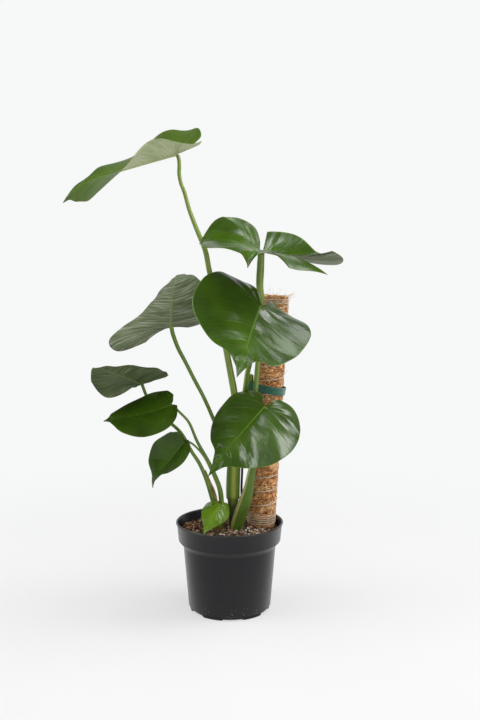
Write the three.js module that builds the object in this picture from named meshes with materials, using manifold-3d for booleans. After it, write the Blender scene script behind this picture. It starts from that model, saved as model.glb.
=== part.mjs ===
// Young swiss cheese plant in a black nursery pot, tied to a coir pole.
// Millimetres, +Z up, +Y away from the front. The origin is the centre of the pot's underside.

import * as THREE from 'three';
import { mergeVertices } from 'three/addons/utils/BufferGeometryUtils.js';
import Module from 'manifold-3d';

const wasm = await Module();
wasm.setup();

// Clearance between pieces that touch.
const GAP = 0.3;

// Pot
const RIM_RADIUS = 85;
const POT_HEIGHT = 141.4;
const FOOT_RADIUS = 63.4;
const FOOT_HEIGHT = 5;
const FOOT_STEP = 2;
const BODY_TOP_RADIUS = 73.4;
const COLLAR_RADIUS = 81;
const COLLAR_TOP_RADIUS = 83.4;
const COLLAR_BOTTOM = 112;
const COLLAR_CHAMFER = 8;
const LIP_HEIGHT = 2.4;
const POT_WALL = 1.8;
const FLOOR_THICKNESS = 2.4;
const POT_SIDES = 40;
const DRAIN_SLOTS = 6;
const DRAIN_SLOT_SIZE = { width: 30, depth: 9, height: 8 };
const DRAIN_SLOT_TURN = 5;

// Potting mix
const SOIL_LEVEL = 126.5;
const SOIL_LUMP = 1.4;
const SOIL_MOUND = 4;

// Coir pole: it leans a little to the right and to the back
const POLE_AT_SOIL = new THREE.Vector3(50.8, 25, 128);
const POLE_LEAN = new THREE.Vector3(0.0565, 0.02, 1).normalize();
const COIR_RADIUS = 21.5;
const COIR_LENGTH = 370;
const COIR_BURIED = 9;
const COIR_SIDES = 20;
const STAKE_RADIUS = 9;
const STAKE_BURIED = 106;
const STAKE_TOP = 366;
const TWINE_RADIUS = 0.55;
const TWINE_BUNCH = { turns: 5, pitch: 3.4, start: 3 };
const TWINE_BODY = { turns: 15, pitch: 22.4 };
const TWINE_TOP = { turns: 3, pitch: 3 };
const TWINE_STEPS_PER_TURN = 14;
const TWINE_SIDES = 3;

// Strap that ties the stem to the pole
const STRAP_WIDTH = 12;
const STRAP_THICKNESS = 1.4;
const STRAP_TILT = 10.8;
const STRAP_HEIGHT = 350;

// Leaves: angles from the tip at which the reach of the outline is given, as a share of the length
const REACH_ANGLES = [10, 25, 45, 70, 100, 130, 155];
const BLADE_THICKNESS = 0.8;
const MIDRIB_DEPTH = 2.2;
const LAST_KNOT = 10;
// The lobes reach this far behind the joint at most, as a share of the length.
const BACK_END = -0.6;

const degrees = THREE.MathUtils.degToRad;
const clamp01 = (value) => Math.min(1, Math.max(0, value));

const LEAVES = {
  leaf_top_left: {
    joint: [-80.2, 11, 715], length: 195.8, heading: 178.2, pitch: -15.5, roll: 6,
    droop: 1, tipCurl: 43, midrib: 2.4,
    left: {
      fold: [-10.4, 5.3, -6.7, -27.8, -51.6], cup: [5.7, -1.9, -14.6, -10.8, -12.3],
      twist: -1.9, lobeLift: 17.6, sinus: 157.5,
      reach: [0.916, 0.835, 0.70, 0.579, 0.438, 0.332, 0.201],
    },
    right: {
      fold: [39.9, 42.6, 29, 29.7, 22.8], cup: [-18.6, -15, -25.6, -18.8, -19.6],
      twist: 6.6, lobeLift: 20.6, sinus: 168.3,
      reach: [0.723, 0.664, 0.569, 0.495, 0.461, 0.395, 0.263],
      splits: [{ at: 5, from: 0.3, to: 0.8, width: 0.022 }],
    },
  },
  leaf_top_right: {
    joint: [48.9, -15, 566.5], length: 162, heading: -97.4, pitch: 1.7, roll: -4.7,
    droop: -3.1, tipCurl: 61.6, midrib: 2.4,
    left: {
      fold: [-10.1, -0.5, 5.9, 8.2, 21.7], cup: [-13.6, -16.6, -12.5, -17.2, -23],
      twist: 0, lobeLift: 25.2, sinus: 171.7,
      reach: [0.785, 0.743, 0.712, 0.841, 0.585, 0.507, 0.378],
      splits: [
        { at: 4.5, from: 0.3, width: 0.012 },
        { at: 5.5, from: 0.3, width: 0.012 },
        { at: 7, from: 0.3, width: 0.02 },
      ],
      tilts: [0.121, -0.034, -0.046, -0.065],
      lifts: [0.052, 0.11, -0.097, 0.056],
    },
    right: {
      fold: [51.5, 35.6, 28.9, 15.6, 3.2], cup: [-32.5, -51.4, -52.5, -47.3, -49.1],
      twist: -4.2, lobeLift: 50.4, sinus: 164.2,
      reach: [0.809, 0.774, 0.701, 0.621, 0.549, 0.508, 0.385],
    },
  },
  leaf_middle: {
    joint: [48, -62, 487.6], length: 159, heading: -112, pitch: -40, roll: -43,
    droop: -28, tipCurl: 33, twist: -14, lobeLift: -41, midrib: 2.4,
    left: { fold: -17, cup: 25, sinus: 157, reach: [0.72, 0.71, 0.62, 0.57, 0.59, 0.62, 0.50] },
    right: { fold: 0, cup: -14, sinus: 168, reach: [0.78, 0.74, 0.69, 0.66, 0.58, 0.54, 0.48] },
  },
  leaf_lower: {
    joint: [54, -59, 336], length: 145, heading: -134, pitch: -33, roll: -32,
    droop: 6, tipCurl: 32, twist: -20, lobeLift: -34, midrib: 2.2,
    left: { fold: -15, cup: -23, sinus: 171, reach: [0.81, 0.76, 0.65, 0.55, 0.49, 0.46, 0.35] },
    right: { fold: -15, cup: -22, sinus: 142, reach: [0.74, 0.67, 0.60, 0.53, 0.47, 0.47, 0.37] },
  },
  leaf_back_left: {
    joint: [-89.7, 0, 450.5], length: 143.8, heading: -99.1, pitch: 86.4, roll: 2.9,
    droop: -127.5, tipCurl: 7.3, midrib: 2.4,
    left: {
      fold: [55.3, 38.4, 20.7, 12.9, 12.1], cup: [22.9, 16.2, 13.3, 6.9, 3.8],
      twist: 29, lobeLift: 13.9, sinus: 100.3, spread: 0.64,
      reach: [0.778, 0.703, 0.634, 0.593, 0.607, 0.618, 0.469],
    },
    right: {
      fold: [-5.9, 5.6, 14.8, 14.1, 7.6], cup: [17.1, 25.8, 32, 28.2, 25.5],
      twist: 28.5, lobeLift: -5.6, sinus: 120.5, spread: 0.78,
      reach: [0.843, 0.677, 0.521, 0.434, 0.45, 0.731, 0.662],
    },
  },
  leaf_low_back: {
    joint: [-134.2, -25, 364.2], length: 138, heading: 242, pitch: 22, roll: 12,
    droop: 6, tipCurl: 16, twist: 6, lobeLift: 24, midrib: 1.6, small: true,
    left: { fold: 32, cup: -50, sinus: 142, reach: [0.73, 0.63, 0.52, 0.38, 0.32, 0.33, 0.31] },
    right: { fold: 15, cup: -50, sinus: 142, reach: [0.80, 0.66, 0.57, 0.51, 0.53, 0.48, 0.35] },
  },
  leaf_low_middle: {
    joint: [-88.3, -44, 335.7], length: 107, heading: 174, pitch: -23, roll: -33,
    droop: -32, tipCurl: 23, twist: -16, lobeLift: 60, midrib: 1.6, small: true,
    left: { fold: 8, cup: -50, sinus: 146, reach: [0.88, 0.81, 0.63, 0.44, 0.29, 0.16, 0.10] },
    right: { fold: 34, cup: -50, sinus: 142, reach: [0.87, 0.69, 0.52, 0.31, 0.22, 0.16, 0.10] },
  },
  leaf_low_front: {
    joint: [-68, -49, 281], length: 97, heading: 165, pitch: -54, roll: -60,
    droop: -13, tipCurl: 54, twist: -31, lobeLift: 49, midrib: 1.4, small: true,
    left: { fold: 20, cup: -5, sinus: 142, reach: [0.67, 0.58, 0.49, 0.38, 0.27, 0.16, 0.10] },
    right: { fold: 43, cup: 4, sinus: 142, reach: [0.79, 0.73, 0.53, 0.32, 0.23, 0.18, 0.10] },
  },
  leaf_newest: {
    joint: [-14, -44, 181], length: 64, heading: 250, pitch: -13, roll: -21,
    droop: 61, tipCurl: 41, twist: 1, lobeLift: -12, midrib: 1, small: true,
    left: { fold: -17, cup: -41, sinus: 166, reach: [0.78, 0.62, 0.49, 0.39, 0.32, 0.29, 0.28] },
    right: { fold: -18, cup: -35, sinus: 142, reach: [0.75, 0.62, 0.50, 0.41, 0.40, 0.33, 0.20] },
  },
};

// Stalks: route from the stem to the leaf, with half widths seen from the front at even steps along it.
const STALKS = {
  stalk_top_left: {
    route: [[8, 10, 255], [7, 3, 290], [9, 1, 320], [8, 2, 343], [1, 3, 383], [-14, 2, 461], [-31, 1, 539],
      [-37, 1, 569], [-49.6, 3, 600], [-61, 5, 630], [-69, 7, 658], [-74, 8, 671], [-76.6, 9, 685],
      [-76.4, 10, 699], [-77.4, 11, 709], [-80.2, 11, 715]],
    width: [5.6, 5.6, 5.4, 4.8, 4.4, 4.2, 4, 3.4, 2.9, 2.9], depth: 0.95, leaf: 'leaf_top_left',
  },
  stalk_top_right: {
    route: [[24, 19, 300], [33, 12, 318], [40, 6, 345], [43, 3, 375], [47, -2, 430], [49, -5, 490],
      [47, -9, 516], [48, -12, 542], [48.9, -15, 566.5]],
    width: [4.4, 4.2, 4.2, 4.2, 4.4, 4.8, 5.4, 5.8, 5.2], depth: 0.85, leaf: 'leaf_top_right',
  },
  stalk_middle: {
    route: [[17, 12, 286], [21, 7, 320], [25, 0, 353], [30, -14, 389], [38, -31, 418], [47, -48, 450],
      [50, -58, 472], [48, -62, 487.6]],
    width: [4.4, 4.2, 4.2, 4.2, 4.2, 4.2, 4.4, 4], depth: 0.9, leaf: 'leaf_middle',
  },
  stalk_back_left: {
    route: [[4, 12, 232], [-12, 12, 269.5], [-26.9, 12, 306.5], [-41.3, 12, 339.3], [-55, 11, 365.8],
      [-69.7, 9, 395.8], [-79.8, 5, 416.3], [-84.6, 2, 429.5], [-88.2, -0.5, 441.5], [-90, -2.5, 453]],
    width: [3.4, 3.2, 3.1, 3, 3, 3, 3.2, 3.4], depth: 1, leaf: 'leaf_back_left',
  },
  stalk_lower: {
    route: [[9, -7, 114], [10, -8, 130], [14, -10, 145], [22, -16, 171], [30, -23, 200], [35, -31, 231],
      [39, -37, 245], [46, -46, 268], [53, -56, 298], [56, -60, 320], [54, -59, 336]],
    width: [8.8, 9.8, 10.6, 9.6, 7.6, 6, 4.8, 4.2, 4, 4, 3.6], depth: 0.62, leaf: 'leaf_lower',
  },
  stalk_low_back: {
    route: [[-18, -8, 150], [-26, -11, 178], [-37, -16, 215], [-47, -19, 239], [-58, -21, 257],
      [-75, -20, 287], [-93, -10, 302], [-118, -2, 322], [-130, -6, 345], [-133, -16, 357], [-134, -25, 364]],
    width: [4.4, 4, 3.4, 3, 2.8, 2.7, 2.6, 2.6, 2.5, 2.5], depth: 1, leaf: 'leaf_low_back',
  },
  stalk_low_middle: {
    route: [[-12, -4, 160], [-15, -6, 193], [-29, -12, 232], [-50, -20, 274], [-63, -26, 306],
      [-76, -33, 322], [-83, -39, 330], [-88, -44, 335.5]],
    width: [4, 4, 3.4, 2.9, 2.5, 2.2, 2, 2], depth: 1, leaf: 'leaf_low_middle',
  },
  stalk_low_front: {
    route: [[-15, -9, 162], [-15, -16, 190], [-27, -22, 225], [-38, -29, 250], [-48, -35, 265],
      [-57, -42, 275], [-63, -46, 279], [-68, -49, 281]],
    width: [2.4, 2.2, 2, 1.8, 1.7, 1.6, 1.6, 1.6], depth: 1, leaf: 'leaf_low_front',
  },
  stalk_newest: {
    route: [[-14, -8, 146], [-10, -20, 158], [-10, -31, 169], [-11, -39, 176], [-14, -44, 181]],
    width: [2.4, 2.2, 2, 1.8, 1.8], depth: 1, leaf: 'leaf_newest',
  },
};

// Solids and meshes

function merged(geometry) {
  const bare = geometry.index ? geometry.toNonIndexed() : geometry.clone();
  bare.deleteAttribute('normal');
  bare.deleteAttribute('uv');
  return mergeVertices(bare, 1e-4);
}

function solidOf(geometry) {
  const clean = merged(geometry);
  const vertProperties = new Float32Array(clean.attributes.position.array);
  const triVerts = new Uint32Array(clean.index.array);
  return new wasm.Manifold(new wasm.Mesh({ numProp: 3, vertProperties, triVerts }));
}

function geometryOf(solid) {
  const mesh = solid.getMesh();
  const geometry = new THREE.BufferGeometry();
  geometry.setAttribute('position', new THREE.BufferAttribute(mesh.vertProperties, 3));
  geometry.setIndex(new THREE.BufferAttribute(mesh.triVerts, 1));
  return geometry;
}

function largestBody(solid) {
  const bodies = solid.decompose();
  bodies.sort((a, b) => b.volume() - a.volume());
  return bodies[0];
}

function moveVertices(geometry, place) {
  const clean = merged(geometry);
  const position = clean.attributes.position;
  const point = new THREE.Vector3();
  for (let i = 0; i < position.count; i += 1) {
    point.fromBufferAttribute(position, i);
    const moved = place(point.clone());
    position.setXYZ(i, moved.x, moved.y, moved.z);
  }
  return clean;
}

// A steady uneven value in 0..1 for a whole number.
function scatter(n) {
  const wave = Math.sin(n * 127.1 + 311.7) * 43758.5453;
  return wave - Math.floor(wave);
}

// Value of a list at a share of its length.
function alongList(list, share) {
  const place = clamp01(share) * (list.length - 1);
  const from = Math.min(list.length - 2, Math.floor(place));
  return list[from] + (list[from + 1] - list[from]) * (place - from);
}

// Smooth plane curve through knots, at a knot number that need not be whole.
function smoothPoint(knots, place) {
  const last = knots.length - 1;
  const i = Math.min(last - 1, Math.floor(place));
  const f = place - i;
  const before = knots[Math.max(0, i - 1)];
  const a = knots[i];
  const b = knots[i + 1];
  const after = knots[Math.min(last, i + 2)];
  const mix = (p0, p1, p2, p3) => 0.5 * (2 * p1 + (p2 - p0) * f
    + (2 * p0 - 5 * p1 + 4 * p2 - p3) * f * f + (3 * p1 - p0 - 3 * p2 + p3) * f * f * f);
  return new THREE.Vector2(mix(before.x, a.x, b.x, after.x), mix(before.y, a.y, b.y, after.y));
}

// Leaf blade: a flat heart outline is bent along the midrib, folded and cupped across it, then posed.
// A split opens from a share of the way out to the margin, or closes again at `to` and leaves a hole.

function outlineKnots(side) {
  const polar = (angle, reach) => new THREE.Vector2(
    reach * Math.sin(degrees(angle)),
    reach * Math.cos(degrees(angle)),
  );
  const angles = REACH_ANGLES.map((angle) => angle * (side.spread ?? 1));
  const lobeEnd = side.reach[6];
  const knots = [polar(side.sinus, 0), polar(side.sinus, lobeEnd / 2)];
  knots.push(polar(Math.min(angles[6], side.sinus - 6), lobeEnd));
  for (let i = 5; i >= 0; i -= 1) {
    knots.push(polar(angles[i], side.reach[i]));
  }
  knots.push(polar(3.5, side.reach[0] / 2 + 0.49));
  knots.push(polar(0, 1));
  return knots;
}

// Where the vein that reaches a margin point leaves the midrib.
function veinRoot(y) {
  const share = clamp01(y);
  return 0.3 * share + 0.7 * share * share;
}

// Angle in radians at length share y: one number, or five from behind the joint to the tip.
function bendAt(value, y, taper) {
  if (!Array.isArray(value)) {
    return degrees(value) * (1 - taper * clamp01(y));
  }
  const knots = value.map((angle) => new THREE.Vector2(angle, 0));
  const place = clamp01((y + 0.2) / 1.2) * (value.length - 1);
  return degrees(smoothPoint(knots, place).x);
}

class Blade {
  constructor(leaf) {
    this.leaf = leaf;
    this.knots = { left: outlineKnots(leaf.left), right: outlineKnots(leaf.right) };
    this.line = {
      left: this.bendMidrib(leaf.left.lobeLift ?? leaf.lobeLift),
      right: this.bendMidrib(leaf.right.lobeLift ?? leaf.lobeLift),
    };
    this.poseAxes();
  }

  poseAxes() {
    const { heading, pitch, roll, joint } = this.leaf;
    const h = degrees(heading);
    const p = degrees(pitch);
    this.joint = new THREE.Vector3(...joint);
    this.along = new THREE.Vector3(Math.cos(h) * Math.cos(p), Math.sin(h) * Math.cos(p), Math.sin(p));
    this.across = this.along.clone().cross(new THREE.Vector3(0, 0, 1)).normalize();
    this.across.applyAxisAngle(this.along, degrees(roll));
    this.up = this.across.clone().cross(this.along);
  }

  // Direction and place of the midrib line, from behind the joint to the tip.
  bendMidrib(lobeLift) {
    const { droop, tipCurl } = this.leaf;
    const steps = 96;
    const step = (1 - BACK_END) / steps;
    const turn = [];
    const reach = [];
    const rise = [];
    let x = 0;
    let z = 0;
    for (let i = 0; i <= steps; i += 1) {
      const s = BACK_END + i * step;
      const ahead = clamp01(s);
      const back = Math.min(1.6, Math.max(0, -s / 0.3));
      const curl = clamp01((ahead - 0.6) / 0.4) ** 1.5;
      turn.push(-degrees(droop) * ahead ** 1.2 - degrees(tipCurl) * curl - degrees(lobeLift) * back ** 0.8);
      if (i > 0) {
        x += (Math.cos(turn[i]) + Math.cos(turn[i - 1])) / 2 * step;
        z += (Math.sin(turn[i]) + Math.sin(turn[i - 1])) / 2 * step;
      }
      reach.push(x);
      rise.push(z);
    }
    const zeroX = this.sample(reach, 0);
    const zeroZ = this.sample(rise, 0);
    return { turn, reach: reach.map((value) => value - zeroX), rise: rise.map((value) => value - zeroZ) };
  }

  sample(list, s) {
    return alongList(list, (s - BACK_END) / (1 - BACK_END));
  }

  // Flat place of row t (counted in outline knots) at share u from midrib to margin.
  flat(sideName, t, u) {
    const margin = smoothPoint(this.knots[sideName], t);
    const other = smoothPoint(this.knots[sideName === 'left' ? 'right' : 'left'], t);
    const root = veinRoot((margin.y + other.y) / 2);
    const reach = Math.max(0, margin.x);
    const bendX = 0.55 * reach;
    const bendY = root + 0.25 * (margin.y - root);
    const x = 2 * u * (1 - u) * bendX + u * u * reach;
    const y = (1 - u) * (1 - u) * root + 2 * u * (1 - u) * bendY + u * u * margin.y;
    return new THREE.Vector2(x, y);
  }

  // Place in space of a flat point; lift moves it off the blade along its normal.
  surface(sideName, x, y, lift = 0) {
    const { length } = this.leaf;
    const side = this.leaf[sideName];
    const twist = side.twist ?? this.leaf.twist;
    const ahead = clamp01(y);
    const line = this.line[sideName];
    const turn = this.sample(line.turn, y);
    const fold = bendAt(side.fold, y, 0.5);
    const cup = bendAt(side.cup, y, 0) / 0.55 || 1e-3;
    const sideways = (length / cup) * (Math.sin(fold + cup * x) - Math.sin(fold));
    const raised = -(length / cup) * (Math.cos(fold + cup * x) - Math.cos(fold));
    const tw = degrees(twist) * ahead;
    const up = this.up.clone().multiplyScalar(Math.cos(turn)).addScaledVector(this.along, -Math.sin(turn));
    const right = this.across.clone().multiplyScalar(Math.cos(tw)).addScaledVector(up, Math.sin(tw));
    const normal = up.clone().multiplyScalar(Math.cos(tw)).addScaledVector(this.across, -Math.sin(tw));
    const sign = sideName === 'left' ? -1 : 1;
    return this.joint.clone()
      .addScaledVector(this.along, this.sample(line.reach, y) * length)
      .addScaledVector(this.up, this.sample(line.rise, y) * length)
      .addScaledVector(right, sign * sideways)
      .addScaledVector(normal, raised + lift * length);
  }

  normal(sideName, x, y, lift = 0) {
    const e = 0.004;
    const sign = sideName === 'left' ? -1 : 1;
    const dx = this.surface(sideName, x + e, y, lift).sub(this.surface(sideName, x, y, lift));
    const dy = this.surface(sideName, x, y + e, lift).sub(this.surface(sideName, x, y - e, lift));
    return dx.cross(dy).multiplyScalar(sign).normalize();
  }

  // Rows of one half in ribbons; a ribbon ends and the next begins at each split.
  ribbons(sideName) {
    const splits = this.leaf[sideName].splits ?? [];
    const half = this.leaf.small && this.leaf.length < 80 ? 1 : 0.5;
    const rows = [];
    for (let t = 1; t <= LAST_KNOT - 1; t += half) {
      rows.push(t);
    }
    rows.push(LAST_KNOT);
    const ends = [...splits.map((split) => split.at), LAST_KNOT];
    let from = 1;
    return ends.map((end, k) => {
      const ribbon = {
        rows: rows.filter((t) => t >= from && t <= end),
        before: splits[k - 1],
        after: splits[k],
        tilt: (this.leaf[sideName].tilts ?? [])[k] ?? 0,
        lift: (this.leaf[sideName].lifts ?? [])[k] ?? 0,
      };
      from = end;
      return ribbon;
    });
  }

  // Flat point of a ribbon's row, drawn back from the split it borders.
  ribbonPoint(sideName, ribbon, t, u) {
    const point = this.flat(sideName, t, u);
    const split = t === ribbon.rows[0] ? ribbon.before : ribbon.after;
    if (split && split.at === t && u > split.from && u < (split.to ?? 2)) {
      const ahead = this.flat(sideName, t + 0.05, u).sub(this.flat(sideName, t - 0.05, u)).normalize();
      const share = (u - split.from) / ((split.to ?? 1) - split.from);
      const shape = split.to ? Math.sin(Math.PI * share) : Math.sqrt(share) * (1 - 0.2 * share);
      point.addScaledVector(ahead, (t === ribbon.rows[0] ? 1 : -1) * split.width * shape);
    }
    return point;
  }

  geometry(grow = 0) {
    const columns = this.leaf.small ? [0, 0.08, 0.4, 0.72, 1] : [0, 0.06, 0.3, 0.55, 0.8, 1];
    const points = [];
    const index = new Map();
    const faces = [];
    const vertex = (sideName, ribbon, t, u) => {
      const flat = this.ribbonPoint(sideName, ribbon, t, u);
      const sign = sideName === 'left' ? -1 : 1;
      const key = `${Math.round(sign * flat.x * 2e4)},${Math.round(flat.y * 2e4)}`;
      if (!index.has(key)) {
        const free = clamp01((u - 0.3) / 0.7);
        const lift = ribbon.tilt * free + ribbon.lift * free * free;
        const place = this.surface(sideName, flat.x, flat.y, lift);
        const normal = this.normal(sideName, flat.x, flat.y, lift);
        if (u === 0) {
          normal.add(this.normal(sideName === 'left' ? 'right' : 'left', 0, flat.y)).normalize();
        }
        const rib = u === 0 ? this.leaf.midrib * (1 - 0.85 * clamp01(flat.y)) : 0;
        index.set(key, points.length);
        points.push({ place, normal, depth: BLADE_THICKNESS + rib });
      }
      return index.get(key);
    };
    for (const sideName of ['left', 'right']) {
      for (const ribbon of this.ribbons(sideName)) {
        for (let i = 0; i < ribbon.rows.length - 1; i += 1) {
          for (let j = 0; j < columns.length - 1; j += 1) {
            const a = vertex(sideName, ribbon, ribbon.rows[i], columns[j]);
            const b = vertex(sideName, ribbon, ribbon.rows[i], columns[j + 1]);
            const c = vertex(sideName, ribbon, ribbon.rows[i + 1], columns[j + 1]);
            const d = vertex(sideName, ribbon, ribbon.rows[i + 1], columns[j]);
            const triangles = [[a, b, c], [a, c, d]];
            for (const [p, q, r] of triangles) {
              if (p !== q && q !== r && p !== r) {
                faces.push(sideName === 'left' ? [p, r, q] : [p, q, r]);
              }
            }
          }
        }
      }
    }
    return sheetSolid(points, faces, grow);
  }
}

// Closes a sheet of triangles into a thin body: the same triangles above and below, and a rim.
function sheetSolid(points, faces, grow) {
  const edges = new Map();
  for (const [a, b, c] of faces) {
    for (const [from, to] of [[a, b], [b, c], [c, a]]) {
      edges.set(`${from},${to}`, [from, to]);
    }
  }
  const rim = [...edges.values()].filter(([from, to]) => !edges.has(`${to},${from}`));
  const outward = new Map();
  for (const [from, to] of rim) {
    const run = points[to].place.clone().sub(points[from].place).normalize();
    for (const end of [from, to]) {
      const out = run.clone().cross(points[end].normal);
      outward.set(end, (outward.get(end) ?? new THREE.Vector3()).add(out));
    }
  }
  const above = [];
  const below = [];
  points.forEach((point, i) => {
    const place = point.place.clone();
    if (grow > 0 && outward.has(i)) {
      place.addScaledVector(outward.get(i).normalize(), grow);
    }
    above.push(place.clone().addScaledVector(point.normal, grow));
    below.push(place.clone().addScaledVector(point.normal, -point.depth - grow));
  });
  const count = points.length;
  const index = [];
  for (const [a, b, c] of faces) {
    index.push(a, b, c, a + count, c + count, b + count);
  }
  for (const [from, to] of rim) {
    index.push(to, from, from + count, to, from + count, to + count);
  }
  const geometry = new THREE.BufferGeometry();
  geometry.setFromPoints([...above, ...below]);
  geometry.setIndex(index);
  return geometry;
}

// Tapered round or oval stem along a route; its wider direction faces the front.
function stemGeometry(route, width, { depth = 1, sides = 6, steps = 14, grow = 0 } = {}) {
  const curve = new THREE.CatmullRomCurve3(route.map((p) => new THREE.Vector3(...p)), false, 'centripetal');
  const rings = [];
  for (let i = 0; i <= steps; i += 1) {
    const share = i / steps;
    const tangent = curve.getTangentAt(share);
    const side = new THREE.Vector3(1, 0, 0).addScaledVector(tangent, -tangent.x).normalize();
    const end = i === 0 ? -grow : (i === steps ? grow : 0);
    rings.push({
      centre: curve.getPointAt(share).addScaledVector(tangent, end),
      side,
      front: tangent.clone().cross(side),
      radius: alongList(width, share) + grow,
      depth: alongList(width, share) * depth + grow,
    });
  }
  return moveVertices(new THREE.CylinderGeometry(1, 1, 1, sides, steps), (point) => {
    const ring = rings[Math.round((0.5 - point.y) * steps)];
    return ring.centre.clone()
      .addScaledVector(ring.side, point.x * ring.radius)
      .addScaledVector(ring.front, point.z * ring.depth);
  });
}

// Pot

function potOutside() {
  return [
    [FOOT_RADIUS, 0],
    [FOOT_RADIUS, FOOT_HEIGHT],
    [FOOT_RADIUS + FOOT_STEP, FOOT_HEIGHT + 1.5],
    [BODY_TOP_RADIUS, COLLAR_BOTTOM - COLLAR_CHAMFER],
    [COLLAR_RADIUS, COLLAR_BOTTOM],
    [COLLAR_TOP_RADIUS, POT_HEIGHT - LIP_HEIGHT - 1],
    [RIM_RADIUS, POT_HEIGHT - LIP_HEIGHT],
    [RIM_RADIUS, POT_HEIGHT],
  ];
}

function potInside() {
  return [
    [FOOT_RADIUS - POT_WALL, FLOOR_THICKNESS],
    [FOOT_RADIUS - POT_WALL + FOOT_STEP, FOOT_HEIGHT + 2.5],
    [BODY_TOP_RADIUS - POT_WALL, COLLAR_BOTTOM - COLLAR_CHAMFER + 1],
    [COLLAR_RADIUS - POT_WALL, COLLAR_BOTTOM + 1],
    [COLLAR_TOP_RADIUS - POT_WALL, POT_HEIGHT - 1],
    [COLLAR_TOP_RADIUS - POT_WALL + 0.6, POT_HEIGHT],
  ];
}

function pot() {
  const profile = [[0, 0], ...potOutside(), ...potInside().reverse(), [0, FLOOR_THICKNESS]];
  const body = new THREE.LatheGeometry(profile.map(([r, z]) => new THREE.Vector2(r, z)), POT_SIDES);
  let solid = solidOf(body.rotateX(Math.PI / 2));
  const { width, depth, height } = DRAIN_SLOT_SIZE;
  for (let i = 0; i < DRAIN_SLOTS; i += 1) {
    const slot = new THREE.BoxGeometry(width, depth, height);
    slot.translate(0, -FOOT_RADIUS, 0);
    slot.rotateZ(degrees(DRAIN_SLOT_TURN + i * 360 / DRAIN_SLOTS));
    solid = solid.subtract(solidOf(slot));
  }
  return solid;
}

// Inner radius of the pot at a height.
function potInnerRadius(z) {
  const wall = potInside();
  for (let i = 1; i < wall.length; i += 1) {
    if (z <= wall[i][1]) {
      const share = (z - wall[i - 1][1]) / (wall[i][1] - wall[i - 1][1]);
      return wall[i - 1][0] + share * (wall[i][0] - wall[i - 1][0]);
    }
  }
  return wall[wall.length - 1][0];
}

// Potting mix: fills the pot, lumpy on top and a little higher round the stems.
function soilHeight(x, y) {
  const lump = Math.sin(x * 0.21 + 1.3) * Math.cos(y * 0.17 - 0.4) + 0.6 * Math.sin(x * 0.43 - y * 0.37);
  const mound = Math.exp(-((x - 15) ** 2 + (y - 8) ** 2) / 1500);
  return SOIL_LEVEL + SOIL_LUMP * lump * 0.6 + SOIL_MOUND * mound;
}

function soil(standing) {
  const bottom = FLOOR_THICKNESS + GAP;
  const collar = [COLLAR_BOTTOM - COLLAR_CHAMFER + 1, COLLAR_BOTTOM + 1];
  const heights = [bottom, FOOT_HEIGHT + 2.5, ...collar, SOIL_LEVEL - 1];
  const clear = GAP + 0.2;
  const profile = [[0, bottom], ...heights.map((z) => [potInnerRadius(z) - clear, z])];
  const rings = [72, 60, 46, 30, 14];
  const top = [...rings.map((r) => [r, SOIL_LEVEL]), [0, SOIL_LEVEL]];
  const outline = [...profile, ...top].map(([r, z]) => new THREE.Vector2(r, z));
  const body = new THREE.LatheGeometry(outline, 28).rotateX(Math.PI / 2);
  const shaped = moveVertices(body, (point) => {
    if (point.z > SOIL_LEVEL - 0.1) {
      point.z = soilHeight(point.x, point.y);
    }
    return point;
  });
  let solid = solidOf(shaped);
  for (const piece of standing) {
    solid = solid.subtract(piece);
  }
  return largestBody(solid);
}

// Coir pole

function alongPole(height) {
  return POLE_AT_SOIL.clone().addScaledVector(POLE_LEAN, height);
}

// Stands a body made upright on the origin on the pole's line, from a height above the soil.
function onPole(geometry, height) {
  const lean = new THREE.Quaternion().setFromUnitVectors(new THREE.Vector3(0, 0, 1), POLE_LEAN);
  geometry.applyQuaternion(lean);
  const foot = alongPole(height);
  geometry.translate(foot.x, foot.y, foot.z);
  return geometry;
}

function poleStake(grow = 0) {
  const length = STAKE_BURIED + STAKE_TOP;
  const tip = 18;
  const profile = [
    [0, -grow],
    [STAKE_RADIUS - 5 + grow, -grow],
    [STAKE_RADIUS + grow, tip],
    [STAKE_RADIUS + grow, length + grow],
    [0, length + grow],
  ].map(([r, z]) => new THREE.Vector2(r, z));
  const body = new THREE.LatheGeometry(profile, 12).rotateX(Math.PI / 2);
  return solidOf(onPole(body, -STAKE_BURIED));
}

function poleCoir(grow = 0) {
  const bore = STAKE_RADIUS + GAP - grow;
  const rings = 9;
  const length = COIR_LENGTH + COIR_BURIED;
  const outline = [];
  for (let i = 0; i <= rings; i += 1) {
    const end = i === 0 ? -grow : (i === rings ? grow : 0);
    const worn = i === rings ? 1.2 : 0.5 * scatter(i);
    outline.push([COIR_RADIUS - worn + grow, length * i / rings + end]);
  }
  const profile = [[bore, -grow], ...outline, [bore, length + grow], [bore, -grow]];
  const body = new THREE.LatheGeometry(profile.map(([r, z]) => new THREE.Vector2(r, z)), COIR_SIDES);
  return solidOf(onPole(body.rotateX(Math.PI / 2), -COIR_BURIED));
}

// Height of the cord above the soil after a number of turns.
function twineHeight(turn) {
  const bunchTop = TWINE_BUNCH.start + TWINE_BUNCH.turns * TWINE_BUNCH.pitch;
  if (turn < TWINE_BUNCH.turns) {
    return TWINE_BUNCH.start + turn * TWINE_BUNCH.pitch;
  }
  const body = turn - TWINE_BUNCH.turns;
  if (body < TWINE_BODY.turns) {
    return bunchTop + body * TWINE_BODY.pitch;
  }
  return bunchTop + TWINE_BODY.turns * TWINE_BODY.pitch + (body - TWINE_BODY.turns) * TWINE_TOP.pitch;
}

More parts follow.
